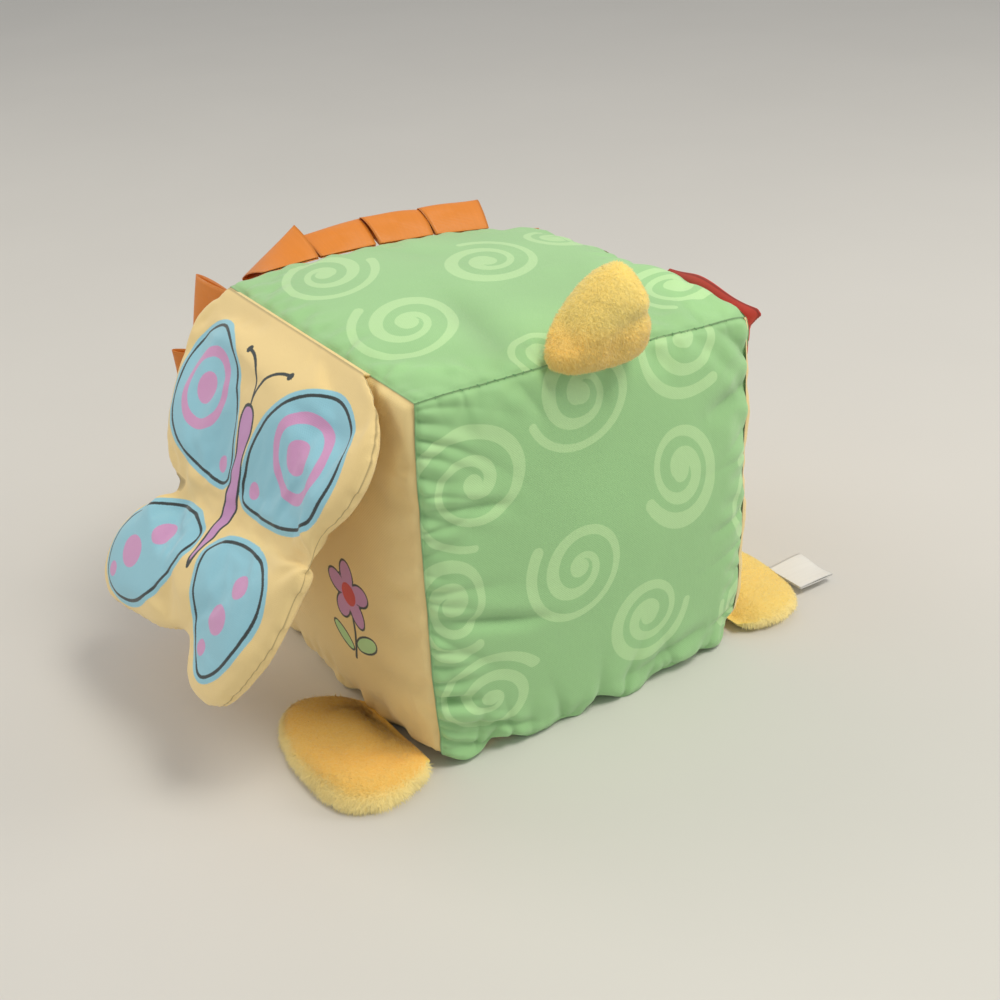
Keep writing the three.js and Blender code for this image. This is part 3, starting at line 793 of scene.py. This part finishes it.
BODY = [(0, 0.225), (0.065, 0.24), (0.088, 0.285), (0.06, 0.33), (0.052, 0.37), (0.064, 0.43), (0.056, 0.52),
        (0.034, 0.61), (0, 0.69)]
ROUND_DOTS = [(-0.53, 0.265, 6.2), (0.53, 0.265, 6.2), (-0.19, 0.42, 3.2), (0.19, 0.42, 3.2)]
OVAL_DOTS = [(0.50, 0.63, 5.0), (0.42, 0.74, 6.5), (0.33, 0.84, 3.6), (-0.40, 0.68, 5.0), (-0.60, 0.78, 7.5),
             (-0.76, 0.87, 3.6)]
FLAP_HALF = 5.0 * MM
FLAP_RIM = 0.8 * MM
FLAP_RISE = 12 * MM
FLAP_CAP = 4 * MM
CREASE_WIDTH = 4.2 * MM
HEM_DEPTH = 1.0 * MM
HEM_REACH = 1.8 * MM
HEM_THICKNESS = 0.8 * MM
HEM_SHARES = (-0.79, 0.64)
NO_SEAM = 3 * MM


def on_flap(shares):
    return np.asarray(shares, float) * [BUTTERFLY_SPAN / 2, -BUTTERFLY_LENGTH] + [BUTTERFLY_SHIFT, 0]


crease_right, crease_left = on_flap(CREASE_RIGHT), on_flap(CREASE_LEFT)
along_crease = (crease_right - crease_left) / np.linalg.norm(crease_right - crease_left)
across_crease = np.array([-along_crease[1], along_crease[0]])
flap_ring = curve_through(on_flap([*UPPER_RIGHT, CREASE_RIGHT, *LOWER, CREASE_LEFT, *UPPER_LEFT]), 260)
seam_point = skin([[0.0, -1.0, 1.0]])[0]
flap_origin = Vector((0, seam_point[1] - HINGE_STEP, seam_point[2] + HINGE_STEP))
flap_place = Matrix.Translation(flap_origin) @ Matrix.Rotation(math.pi / 2 - BUTTERFLY_TILT, 4, "X")


def butterfly_pad():
    obj = pad_form("butterfly_flap_cloth", flap_ring, 1.5 * MM, FLAP_VOXEL)
    points = points_of(obj)
    flat = points[:, :2]
    high = pad_height(flat, FLAP_HALF, FLAP_RIM, FLAP_RISE, flap_ring)
    across = (flat - crease_left) @ across_crease
    high *= 1 - 0.86 * bump(across / CREASE_WIDTH)
    high *= 0.16 + 0.84 * smooth_step(-flat[:, 1] / (20 * MM))
    points[:, 2] = points[:, 2] / (1.5 * MM) * high
    set_points(obj, points)
    held = (np.abs(across) < 1.6 * MM) | (flat[:, 1] > -2.5 * MM)
    below_hinge = smooth_step(-flat[:, 1] / (26 * MM))
    points = finer(stuffed(obj, FLAP_CAP * below_hinge, pressure=4.0, slack=0.04, held=held, bend=0.2))
    flat = points[:, :2]
    rim = shape_distance(flat, flap_ring)
    # The seam that joins the front and the back runs round the rim.
    groove = bump(points[:, 2] / (0.7 * MM)) * bump(np.minimum(rim + 1.5 * MM, 0) / (2 * MM))
    points -= points_of(obj, "normal") * [1, 1, 0] * (0.7 * MM * groove)[:, None]
    # Short creases pull in towards the waist on the right, and small ones run in from the rim.
    waist = np.linalg.norm(flat - crease_right, axis=1)
    angle = np.arctan2(flat[:, 1] - crease_right[1], flat[:, 0] - crease_right[0])
    front = np.sign(points[:, 2])
    pulled = 0.6 * MM * np.sin(9 * angle) * bump((waist - 8 * MM) / (8 * MM)) * smooth_step(-rim / (7 * MM))
    points[:, 2] += front * pulled
    x, y = flat.T / MM
    wave = np.sin(x / 5.2 + np.sin(y / 7)) * np.sin(y / 6.1 + 0.5 * np.sin(x / 9))
    near_rim = bump((rim + 9 * MM) / (6 * MM)) * smooth_step(-flat[:, 1] / (26 * MM))
    points[:, 2] += front * 0.4 * MM * wave * near_rim
    # The two layers keep a little wadding between them everywhere but in the seam.
    least = 0.45 * MM * smooth_step((-rim - 1.5 * MM) / (1.5 * MM))
    points[:, 2] = front * np.maximum(front * points[:, 2], least)
    set_points(obj, points)
    # The seam value is near zero round the rim, where the material paints shade into the seam between the
    # layers.
    store(obj, flat=flat, seam=points[:, 2] * (1 + np.maximum(-rim, 0) / MM))
    paint_butterfly(obj, flat)
    dressed(obj, butterfly_cloth, place=flap_place, nodes=[
        f"butterfly_{half}_{layer}" for half in ("upper", "lower") for layer in ("front", "back", "wadding")])
    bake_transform(obj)


def paint_butterfly(obj, flat):
    """The print's distances, with the flap's back kept bare."""
    hidden = np.where(points_of(obj, "normal")[:, 2] > 0, 0, 1.0)
    rings = [curve_through(on_flap(wing), 70, closed=True)
             for wing in (WING_UPPER, [(-x, y) for x, y in WING_UPPER], WING_LOWER, WING_LOWER_LEFT)]
    wings = np.minimum.reduce([shape_distance(flat, ring) for ring in rings])
    body = curve_through(on_flap(BODY + [(-x, y) for x, y in BODY[-2:0:-1]]), 90, closed=True)
    dots = [oval_distance(flat, on_flap((x, y)), reach * MM) for x, y, reach in ROUND_DOTS]
    dots += [oval_distance(flat, on_flap((x, y)), reach * MM, 0.85, math.radians(30))
             for x, y, reach in OVAL_DOTS]
    store(obj, wings=wings + hidden, body=shape_distance(flat, body) + hidden, back=hidden,
          dots=np.minimum.reduce(dots) + hidden)


def butterfly_hem():
    """The strip of cloth that joins the flap's top edge to the block's bowed seam, along its whole width."""
    x = BUTTERFLY_SHIFT + np.linspace(*HEM_SHARES, 61) * BUTTERFLY_SPAN / 2
    side = np.full_like(x, -1.0)
    cube = np.stack([x / HALF, side, -side], axis=1)
    inner = skin(cube) - HEM_DEPTH * outward(cube)
    outer = np.array([flap_place @ Vector((at, -HEM_REACH, 0)) for at in x])
    points = inner + np.linspace(0, 1, 7)[:, None, None] * (outer - inner)
    obj = mesh_object("butterfly_flap_hem", points.reshape(-1, 3), grid_faces(7, len(x)))
    thickened(obj, HEM_THICKNESS)
    store(obj, flat=points_of(obj)[:, ::2], seam=np.full(len(obj.data.vertices), NO_SEAM))
    dressed(obj, cream_cloth)
    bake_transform(obj)


butterfly_pad()
butterfly_hem()

# Red flap
RED_WIDTH = 53 * MM
RED_LENGTH = 56 * MM
RED_HALF = 1.5 * MM
RED_RIM = 0.6 * MM
RED_PLACE = 48 * MM
RED_TILT = math.radians(11)
RED_LIFT = 1.15 * MM
RED_DROOP = 6.5 * MM
RED_TUCK = 3.5 * MM
RED_SHARES = [(0.9, -0.05), (0.98, -0.01), (0.84, 0.06), (0.66, 0.16), (0.57, 0.34), (0.46, 0.62),
              (0.3, 0.87), (0, 1)]


def red_pad():
    sides = RED_SHARES + [(-x, y) for x, y in RED_SHARES[-2::-1]]
    ring = curve_through([(x * RED_WIDTH / 2, -y * RED_LENGTH) for x, y in sides], 120)
    obj = pad_form("red_flap_cloth", ring, 1 * MM, 1.4 * MM)
    points = points_of(obj)
    points[:, 2] = points[:, 2] / MM * pad_height(points[:, :2], RED_HALF, RED_RIM, 9 * MM, ring)
    set_points(obj, points)
    points = finer(stuffed(obj, 0.8 * MM))
    flat = points[:, :2].copy()
    # The folded top edge waves a little, as soft cloth does.
    top = smooth_step(1 + flat[:, 1] / (12 * MM))
    points[:, 2] += top * 0.5 * MM * np.sin(flat[:, 0] / (7.5 * MM) + 0.6)
    points[:, 1] += top * 0.5 * MM * np.sin(flat[:, 0] / (4.5 * MM))
    # Its end at the block's corner hangs lower and is drawn in.
    droop = smooth_step(1 + flat[:, 1] / (28 * MM))
    far_end = smooth_step((12 * MM - flat[:, 0]) / (34 * MM))
    points[:, 1] += droop * (0.3 * MM - RED_DROOP * far_end)
    points[:, 0] += droop * RED_TUCK * smooth_step((-10 * MM - flat[:, 0]) / (16 * MM))
    points[:, 2] += 0.7 * MM * far_end
    points[:, 2] += RED_LIFT
    set_points(obj, points)
    rim = shape_distance(flat, ring)
    # The seam value is near zero round the rim, where the material paints shade into the seam between the
    # layers.
    store(obj, flat=flat, seam=(points[:, 2] - RED_LIFT) * (1 + np.maximum(-rim, 0) / MM))
    seam = skin([[(RED_PLACE - RED_WIDTH / 2) / HALF, 1.0, 1.0]])[0]
    place = Matrix.Translation((RED_PLACE, seam[1] + HINGE_STEP, seam[2] + HINGE_STEP))
    place = place @ Matrix.Rotation(math.pi, 4, "Z")
    obj.data.transform(place @ Matrix.Rotation(math.pi / 2 - RED_TILT, 4, "X"))
    set_points(obj, corner_pulled(points_of(obj)))
    layers = [f"red_flap_{layer}" for layer in ("front", "back", "wadding")]
    dressed(obj, red_cloth, "red_flap", layers)


red_pad()

# Plush
TUFT_WIDTH = 0.45 * MM
FOOT_WIDTH = 65 * MM
FOOT_HEIGHT = 16 * MM
FOOT_RIM = 4 * MM
FOOT_SOLE = 0.4 * MM
FOOT_ROUND = 8 * MM
FOOT_DIP = 5 * MM
FOOT_PLACE = 46 * MM
FOOT_SHARES = [(0.78, 0), (0.95, 0.2), (1, 0.48), (0.94, 0.73), (0.7, 0.91), (0.37, 0.98), (0, 1)]
RIM_EDGE = 0.85 * MM
PILE_ROOM = 1.4 * MM


def pile(obj, name, body, count, length, lean, deep, seed, chance=None):
    """Short fibres over a plush form: fine tufts that lean the way the pile is brushed."""
    random = np.random.default_rng(seed)
    mesh = obj.data
    mesh.calc_loop_triangles()
    corners = np.empty(len(mesh.loop_triangles) * 3, int)
    mesh.loop_triangles.foreach_get("vertices", corners)
    corners = corners.reshape(-1, 3)
    points, normals = points_of(obj), points_of(obj, "normal")
    a, b, c = (points[corners[:, i]] for i in range(3))
    area = np.linalg.norm(np.cross(b - a, c - a), axis=1)
    if chance is not None:
        area = area * chance(points[corners].mean(axis=1), normals[corners].mean(axis=1))
    chosen = random.choice(len(corners), size=count, p=area / area.sum())
    u, v = random.random(count), random.random(count)
    flip = u + v > 1
    u[flip], v[flip] = 1 - u[flip], 1 - v[flip]
    weights = np.stack([1 - u - v, u, v], axis=1)[:, :, None]
    roots = (points[corners[chosen]] * weights).sum(axis=1)
    up = unit((normals[corners[chosen]] * weights).sum(axis=1))
    swept = np.sin(roots @ np.array([[1, 0.4, -0.6], [-0.5, 1, 0.3], [0.3, -0.7, 1]]) / (5.5 * MM))
    way = lean(roots, up) + 0.25 * swept + random.normal(0, 0.3, (count, 3))
    way = unit(way - (way * up).sum(axis=1, keepdims=True) * up)
    direction = unit(way + random.uniform(0.2, 0.65, count)[:, None] * up)
    reach, pale = length(roots, up)
    tips = roots + direction * (reach * random.uniform(0.6, 1.15, count))[:, None]
    aside = unit(np.cross(direction, up) + 0.12 * random.normal(0, 1, (count, 3)))
    base = roots + up * (0.05 * MM)
    tufts = np.stack([base - TUFT_WIDTH / 2 * aside, base + TUFT_WIDTH / 2 * aside, tips], axis=1)
    fur = mesh_object(name, tufts.reshape(-1, 3), np.arange(3 * count).reshape(-1, 3))
    fur.visible_shadow = False
    soft = unit(up + 0.2 * random.normal(0, 1, (count, 3)))
    fur.data.normals_split_custom_set_from_vertices(np.repeat(soft, 3, axis=0).tolist())
    tip = np.array([0, 0, 1]) * random.uniform(0.1, 0.7, count)[:, None]
    tip = np.clip(tip + pale[:, None] * [0.6, 0.6, 1], 0, 1)
    # Each fibre carries the painted shade that its place on the plush is given.
    store(fur, tip=tip.ravel(), deep=np.repeat(deep(roots, up), 3))
    return dressed(fur, yellow_plush, body)


def plush_foot(name, side, length, splay, square, full_end, painted_top_shade, fringe, fibres, seed):
    """A foot's plush and pile, with painted shade that makes the top more golden than the rim.

    square makes one corner squarer, and full_end is how little it dips at its end by the block's corner.
    """
    fuller = [(x * (1 + square * bump((y - 0.66) / 0.44)), y) for x, y in FOOT_SHARES]
    sides = fuller + [(-x, y) for x, y in FOOT_SHARES[-2::-1]]
    wide, long = FOOT_WIDTH / 2 - PILE_ROOM, length - PILE_ROOM
    ring = curve_through([(x * wide + splay * y * long, y * long) for x, y in sides], 140)
    obj = pad_form(name + "_plush", ring, 1 * MM, 2.0 * MM)
    points = points_of(obj)
    deep = np.maximum(-shape_distance(points[:, :2], ring), 0)
    root = 2 * MM * bump(points[:, 1] / FOOT_ROUND)
    dome = np.sqrt(1 - (1 - np.clip((deep + root) / FOOT_ROUND, 0, 1)) ** 2)
    low = FOOT_RIM - (FOOT_RIM - FOOT_SOLE) * np.clip(deep / (3.5 * MM), 0, 1)
    top = FOOT_RIM + 0.9 * MM + (FOOT_HEIGHT - 6.5 * MM - FOOT_RIM) * dome
    share = (points[:, 2] / MM + 1) / 2
    points[:, 2] = low + (top - low) * np.clip(share, 0, 1)
    set_points(obj, points)
    points = finer(stuffed(obj, 1.5 * MM, held=(points[:, 1] < 2 * MM) | (points[:, 2] < 1.5 * MM)))
    x, y = points[:, 0] / MM, points[:, 1] / MM
    soft = np.sin(x / 9 + np.sin(y / 11)) * np.sin(y / 8 + 0.4)
    points[:, 2] += 0.7 * MM * soft * smooth_step((points[:, 2] - 5 * MM) / (6 * MM))
    # The plush dips where it is sewn into the seam of the block, less so at its end by the block's corner.
    dip = FOOT_DIP * (1 - full_end * smooth_step((side * x - 1) / 16))
    points[:, 2] -= dip * bump(points[:, 1] / FOOT_ROUND) * smooth_step((points[:, 2] - 4 * MM) / (7 * MM))
    points[:, 2] = np.maximum(points[:, 2], 0.2 * MM)
    set_points(obj, points)

    # Painted shade: faces that look up are mixed towards the shaded gold, the near foot's much more than the
    # far foot's.
    def gold(roots, up):
        return painted_top_shade * smooth_step((up[:, 2] - 0.3) / 0.5)

    store(obj, flat=points[:, :2], tip=np.zeros(len(points)), deep=gold(points, points_of(obj, "normal")))
    seam = skin([[(FOOT_PLACE - FOOT_WIDTH / 2) / HALF, side, -1.0]])[0]
    turn = Matrix.Rotation(math.pi if side < 0 else 0, 4, "Z")
    place = Matrix.Translation((FOOT_PLACE, seam[1] + side * RIM_EDGE, 0)) @ turn
    layers = [f"{name}_{layer}" for layer in ("upper", "sole", "stuffing")]
    dressed(obj, yellow_plush, name, layers, place)
    toe = np.array([0.0, side, 0.0])

    def rim(roots, up):
        return smooth_step((roots[:, 2] - 1 * MM) / (2 * MM)) * smooth_step((0.8 - up[:, 2]) / 0.5)

    def lean(roots, up):
        hanging = rim(roots, up)[:, None]
        return (1 - hanging) * (0.6 * toe + 0.3 * up * [1, 1, 0]) + hanging * [0, 0, -1.0]

    def nap(roots, up):
        return (1.3 + fringe * rim(roots, up)) * MM, rim(roots, up)

    def chance(centres, up):
        free = smooth_step((side * (centres[:, 1] - seam[1]) - 2 * MM) / (5 * MM))
        return np.where(up[:, 2] < -0.5, 0.0, 1.0) * (0.02 + free)

    fur = pile(obj, name + "_pile", name, fibres, nap, lean, gold, seed, chance)
    points = points_of(fur)
    points[:, 2] = np.maximum(points[:, 2], 0.05 * MM)
    set_points(fur, points)


plush_foot("near_foot", -1, 43 * MM, -0.07, square=0.27, full_end=0.8, painted_top_shade=0.9, fringe=3.0, fibres=FIBRES,
           seed=3)
plush_foot("far_foot", 1, 40 * MM, -0.04, square=0.0, full_end=0.0, painted_top_shade=0.35, fringe=1.4,
           fibres=FIBRES * 3 // 4, seed=4)

TAIL_LENGTH = 33 * MM
TAIL_WIDTH = 43 * MM
TAIL_THICKNESS = 24 * MM
TAIL_SHIFT = 3.5 * MM
TAIL_LEAN = 6.5 * MM
TAIL_OVERHANG = 7 * MM
TAIL_SAG = 0.8
TAIL_ROUND = 0.7
TAIL_PILE = 2.0 * MM
# The tail's sections: shares of its height, width, thickness, lean and overhang
TAIL_SHARES = [(0, 0.86, 0.3, 0, 0.1), (0.1, 0.96, 0.62, 0.1, 0.3), (0.26, 0.96, 0.9, 0.34, 0.46),
               (0.46, 0.8, 1, 0.62, 0.62), (0.66, 0.62, 0.94, 0.82, 0.8), (0.83, 0.44, 0.74, 0.94, 0.92),
               (0.95, 0.24, 0.42, 1, 0.98), (1, 0.02, 0.02, 1, 1)]


def plush_tail():
    turns = np.linspace(0, 2 * math.pi, 48, endpoint=False)
    waves = (np.cos(turns), np.sin(turns))
    full_cos, full_sin = (np.sign(wave) * np.abs(wave) ** TAIL_ROUND for wave in waves)
    rings = []
    for up, wide, thick, lean, overhang in curve_through(TAIL_SHARES, 30):
        x = TAIL_SHIFT - TAIL_LEAN * lean + (TAIL_WIDTH * wide / 2 - 2.2 * MM) * full_cos
        y = TAIL_OVERHANG * overhang + max(TAIL_THICKNESS * thick / 2 - 1.5 * MM, 0.4 * MM) * full_sin
        rings.append(np.stack([x, y, TAIL_LENGTH * up - TAIL_SAG * (1 - up) * y], axis=1))
    obj = mesh_object("tail_plush", np.concatenate(rings), tube_faces(len(rings), len(turns)))
    voxel_form(obj, 2 * MM)
    points = finer(stuffed(obj, 1.5 * MM, held=points_of(obj)[:, 2] < 2 * MM))
    x, y, z = points.T / MM
    lumps = np.sin(x / 5 + z / 9) * np.sin(z / 7 + y / 6 + 0.5)
    rise = 0.6 * lumps * smooth_step((z - 3) / 6)
    # Its upper part bulges over a soft fold on the side away from the butterfly.
    shy = smooth_step((6 - x) / 12) * (y > -2)
    rise += shy * (0.9 * bump((z - 20) / 5) - 1.3 * bump((z - 14 + 0.12 * x) / 3.5))
    points += points_of(obj, "normal") * (MM * rise)[:, None]
    set_points(obj, points)
    # Painted shade: the lower middle of the tail, under its fold, is mixed towards the shaded gold.
    deep = 0.75 * smooth_step((19 - z) / 8) * smooth_step((17 + x) / 5) * smooth_step((19 - x) / 7)
    store(obj, flat=points[:, :2], tip=np.zeros(len(points)), deep=deep)
    seam = skin([[1.0, 0.0, 1.0], [1.0, -0.002, 1.0], [1.0, 0.002, 1.0]])
    along, away = unit(seam[1] - seam[2]), np.array([1.0, 0, 0])
    place = placed(along, away, np.cross(along, away), seam[0] + [HINGE_STEP, 0, HINGE_STEP])
    dressed(obj, yellow_plush, "tail", ["tail_cover", "tail_stuffing"], place)
    # The pile is painted with the same shade low on the tail.
    pile(obj, "tail_pile", "tail", FIBRES, lambda roots, up: (TAIL_PILE, 0.0 * up[:, 0]),
         lambda roots, up: np.array([0.2, 0.25, -0.6]) + 0.0 * up,
         lambda roots, up: 0.7 * smooth_step((seam[0][2] + 18 * MM - roots[:, 2]) / (9 * MM)), 5)


plush_tail()

# Ribbons
RIBBON_WIDTH = 25.4 * MM
TOP_WIDTH = 26 * MM
RIBBON_THICKNESS = 0.5 * MM
SATIN = 0.3 * MM
LOOP_LENGTH = 17 * MM
LOOP_SWELL = 1.7 * MM
FOLD_FLARE = 0.11
FLARES = {"mane_far_1": -0.4}
LEANS = {"top": [0.03, 0.22, 0.32, 0.36], "near": [0.25, 0.5, 0.42, 0.46, 0.38],
         "far": [0.7, 0.55, 0.42, 0.5, 0.4]}
TWISTS = {"top": [-0.38, -0.06, 0.03, -0.05], "near": [0.08, -0.1, 0.12, -0.06, 0.05],
          "far": [-0.06, 0.1, -0.08, 0.06, 0.1]}
LENGTHS = {"top": [1.05, 1, 0.95, 0.95], "near": [1.05, 1.35, 1.12, 1.2, 1.05],
           "far": [0.8, 1.2, 1.1, 1.15, 1.05]}
TOP_ROW = 105 * MM
TOP_ROW_SHIFT = -0.5 * MM
SIDE_ROW = 134 * MM
SIDE_ROW_SHIFT = 1 * MM
LABEL_WIDTH = 20.5 * MM
LABEL_LENGTH = 19 * MM


def folded_ribbon(name, node, paint, body, width, length, thickness, swell, twist, flare, out, along,
                  origin, seed):
    """A ribbon folded back on itself, both ends in the seam, with the slight buckling of soft satin.

    From its origin the loop reaches out, and its width lies along the seam.
    """
    turns = np.linspace(0, 2 * math.pi, 41)
    shares = np.linspace(-0.5, 0.5, 17)
    turn, share = (grid.ravel() for grid in np.meshgrid(turns, shares, indexing="ij"))
    away = length * (1 - np.cos(turn)) / 2
    leg = (SATIN + thickness) / 2
    random = np.random.default_rng(seed)
    phase, lift = random.uniform(0, 6, 2)
    buckle = 0.7 * MM * np.sin(share * 5 + phase) * np.sin(turn / 2) * np.sin(away / length * 2.4 + lift)
    aside = leg * np.cos(turn / 2) + swell * np.sin(turn) * np.sin(turn / 2) + buckle
    across = share * width * (1 + flare * away / length)
    angle = twist * away / length
    local = np.stack([away, aside * np.cos(angle) - across * np.sin(angle),
                      aside * np.sin(angle) + across * np.cos(angle)], axis=1)
    obj = mesh_object(name, local, grid_faces(len(turns), len(shares)))
    store(obj, flat=np.stack([share * width, turn / (2 * math.pi) * 2 * length], axis=1),
          edge=(0.5 - np.abs(share)) * width)
    obj.data.transform(placed(out, np.cross(along, out), along, origin))
    obj.data.update()
    thickened(obj, SATIN)
    dressed(obj, paint, body, nodes=[node])


def mane_row(row, to_cube, outer, width, first, last):
    """One row of loops, sewn in along a seam from its first end to its last."""
    for i, (lean, twist, length) in enumerate(zip(LEANS[row], TWISTS[row], LENGTHS[row])):
        share = first + (last - first) * (i + 0.5) / len(LEANS[row])
        foot, ahead, behind = skin([to_cube(share), to_cube(share + 0.002), to_cube(share - 0.002)])
        along = unit(ahead - behind)
        leaning = lean * math.pi / 2
        out = np.array([-math.cos(leaning), 0, 0]) + np.array(outer) * math.sin(leaning)
        out = unit(out - (out @ along) * along)
        node = f"mane_{row}_{i + 1}"
        folded_ribbon(node + "_ribbon", node, orange_satin, "block", width,
                      LOOP_LENGTH * length, RIBBON_THICKNESS, LOOP_SWELL, twist * math.pi / 2,
                      FLARES.get(node, FOLD_FLARE + abs(twist) / 4), out, along,
                      foot + out * 0.3 * MM, 100 + 10 * len(row) + i)


top_ends = [(TOP_ROW_SHIFT + end * TOP_ROW / 2) / HALF for end in (-1, 1)]
side_ends = [(SIDE_ROW_SHIFT + end * SIDE_ROW / 2) / HALF for end in (1, -1)]
mane_row("top", lambda s: (-1.0, s, 1.0), (0, 0, 1), TOP_WIDTH, *top_ends)
mane_row("near", lambda s: (-1.0, -1.0, s), (0, -1, 0), RIBBON_WIDTH, *side_ends)
mane_row("far", lambda s: (-1.0, 1.0, s), (0, 1, 0), RIBBON_WIDTH, *side_ends)
label_low, label_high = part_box("care_label")
folded_ribbon("care_label_satin", "care_label", label_satin, "far_foot", LABEL_WIDTH,
              LABEL_LENGTH, 0.3 * MM, 0.5 * MM, 0.0, 0.0, np.array([0, 1.0, 0]), np.array([1.0, 0, 0]),
              [(label_low.x + label_high.x) / 2, label_low.y, FOOT_RIM], 7)

# Closing stitches along the seam between the top and the tail side
STITCH_PITCH = 3.4 * MM
STITCH_RINGS = 6
STITCH_SIDES = 6
THREAD_THICKNESS = 0.34 * MM


def stitch(points):
    """The rings of a short bent thread, thinner at its ends."""
    ahead = unit(np.gradient(points, axis=0))
    first = unit(np.cross(ahead, [0.3, 0.9, 0.2]))
    second = np.cross(ahead, first)
    turns = np.linspace(0, 2 * math.pi, STITCH_SIDES, endpoint=False)[:, None]
    swell = np.sin(np.linspace(0.15, math.pi - 0.15, len(points)))[:, None, None] ** 0.4
    round_it = first[:, None] * np.cos(turns) + second[:, None] * np.sin(turns)
    return (points[:, None] + THREAD_THICKNESS / 2 * swell * round_it).reshape(-1, 3)


def closing_stitches():
    random = np.random.default_rng(11)
    threads = []
    for number, share in enumerate(np.arange(-0.97, 0.97, STITCH_PITCH / HALF)):
        lean = (0.6 if number % 2 else -0.6) * MM * random.uniform(0.5, 1.2) / HALF
        reach = random.uniform(0.6, 1.0) * MM / HALF
        cube = np.array([[1 - reach, share - lean, 1], [1, share, 1], [1, share + lean, 1 - reach]])
        line = skin(cube) + (pucker(cube) + 0.25 * MM)[:, None] * outward(cube)
        threads.append(stitch(curve_through(line, STITCH_RINGS)))
    one = tube_faces(STITCH_RINGS, STITCH_SIDES)
    faces = [[i + number * len(threads[0]) for i in face] for number in range(len(threads)) for face in one]
    obj = mesh_object("closing_stitches", np.concatenate(threads), faces)
    store(obj, flat=points_of(obj)[:, 1:], seam=np.full(len(obj.data.vertices), NO_SEAM))
    dressed(obj, thread_paint, "block")


closing_stitches()

# Room, light and camera
FLOOR_REACH = 3
WORLD_STRENGTH = 0.5
LIGHT_AIM = Vector((0, 0, 0.07))
# Name, place, size in metres, power in watts and colour
LIGHTS = [
    ("key", (0.5, 0.3, 1.25), 0.45, 8, srgb(255, 250, 238)),
    ("side", (-0.9, -0.7, 1.0), 0.7, 4.2, srgb(255, 248, 236)),
    ("fill", (-0.25, -1.2, 0.45), 0.7, 1.3, srgb(255, 246, 232)),
    ("rake", (0.6, 1.1, 0.8), 0.5, 3.5, srgb(255, 252, 246)),
]
CAMERA_PLACE = Vector((0.45393, -0.28397, 0.35199))
CAMERA_AIM = Vector((0.02508, -0.01009, 0.07365))
CAMERA_ROLL = math.radians(-2.95)
LENS_MM = 54
SENSOR_MM = 36


def in_scene(name, data, place, turn):
    obj = bpy.data.objects.new(name, data)
    obj.location = place
    obj.rotation_mode = "QUATERNION"
    obj.rotation_quaternion = turn
    bpy.context.scene.collection.objects.link(obj)
    return obj


def studio():
    corners = [(x * FLOOR_REACH, y * FLOOR_REACH, 0) for x, y in ((-1, -1), (1, -1), (1, 1), (-1, 1))]
    floor = mesh_object("floor", corners, [[0, 1, 2, 3]])
    paint = Paint("pale_floor", 0.7)
    cloudy = paint.noise(paint.node("TexCoord").outputs["Object"], 6.0, 3.0)
    shown = paint.mix(cloudy, srgb(214, 212, 207), srgb(220, 218, 213))
    floor.data.materials.append(paint.joined(Base_Color=shown))
    world = bpy.data.worlds.new("studio")
    world.use_nodes = True
    background = world.node_tree.nodes["Background"]
    background.inputs["Color"].default_value = srgb(240, 240, 240)
    background.inputs["Strength"].default_value = WORLD_STRENGTH
    bpy.context.scene.world = world
    for name, place, size, power, colour in LIGHTS:
        light = bpy.data.lights.new(name, "AREA")
        light.size = size
        light.energy = power
        light.color = colour[:3]
        in_scene(name, light, place, (Vector(place) - LIGHT_AIM).to_track_quat("Z", "Y"))


def camera():
    data = bpy.data.cameras.new("camera")
    data.lens = LENS_MM
    data.sensor_width = SENSOR_MM
    data.clip_start = 0.01
    turn = (CAMERA_PLACE - CAMERA_AIM).to_track_quat("Z", "Y") @ Quaternion((0, 0, 1), CAMERA_ROLL)
    bpy.context.scene.camera = in_scene("camera", data, CAMERA_PLACE, turn)


studio()
camera()
bpy.context.scene.view_settings.view_transform = "Standard"
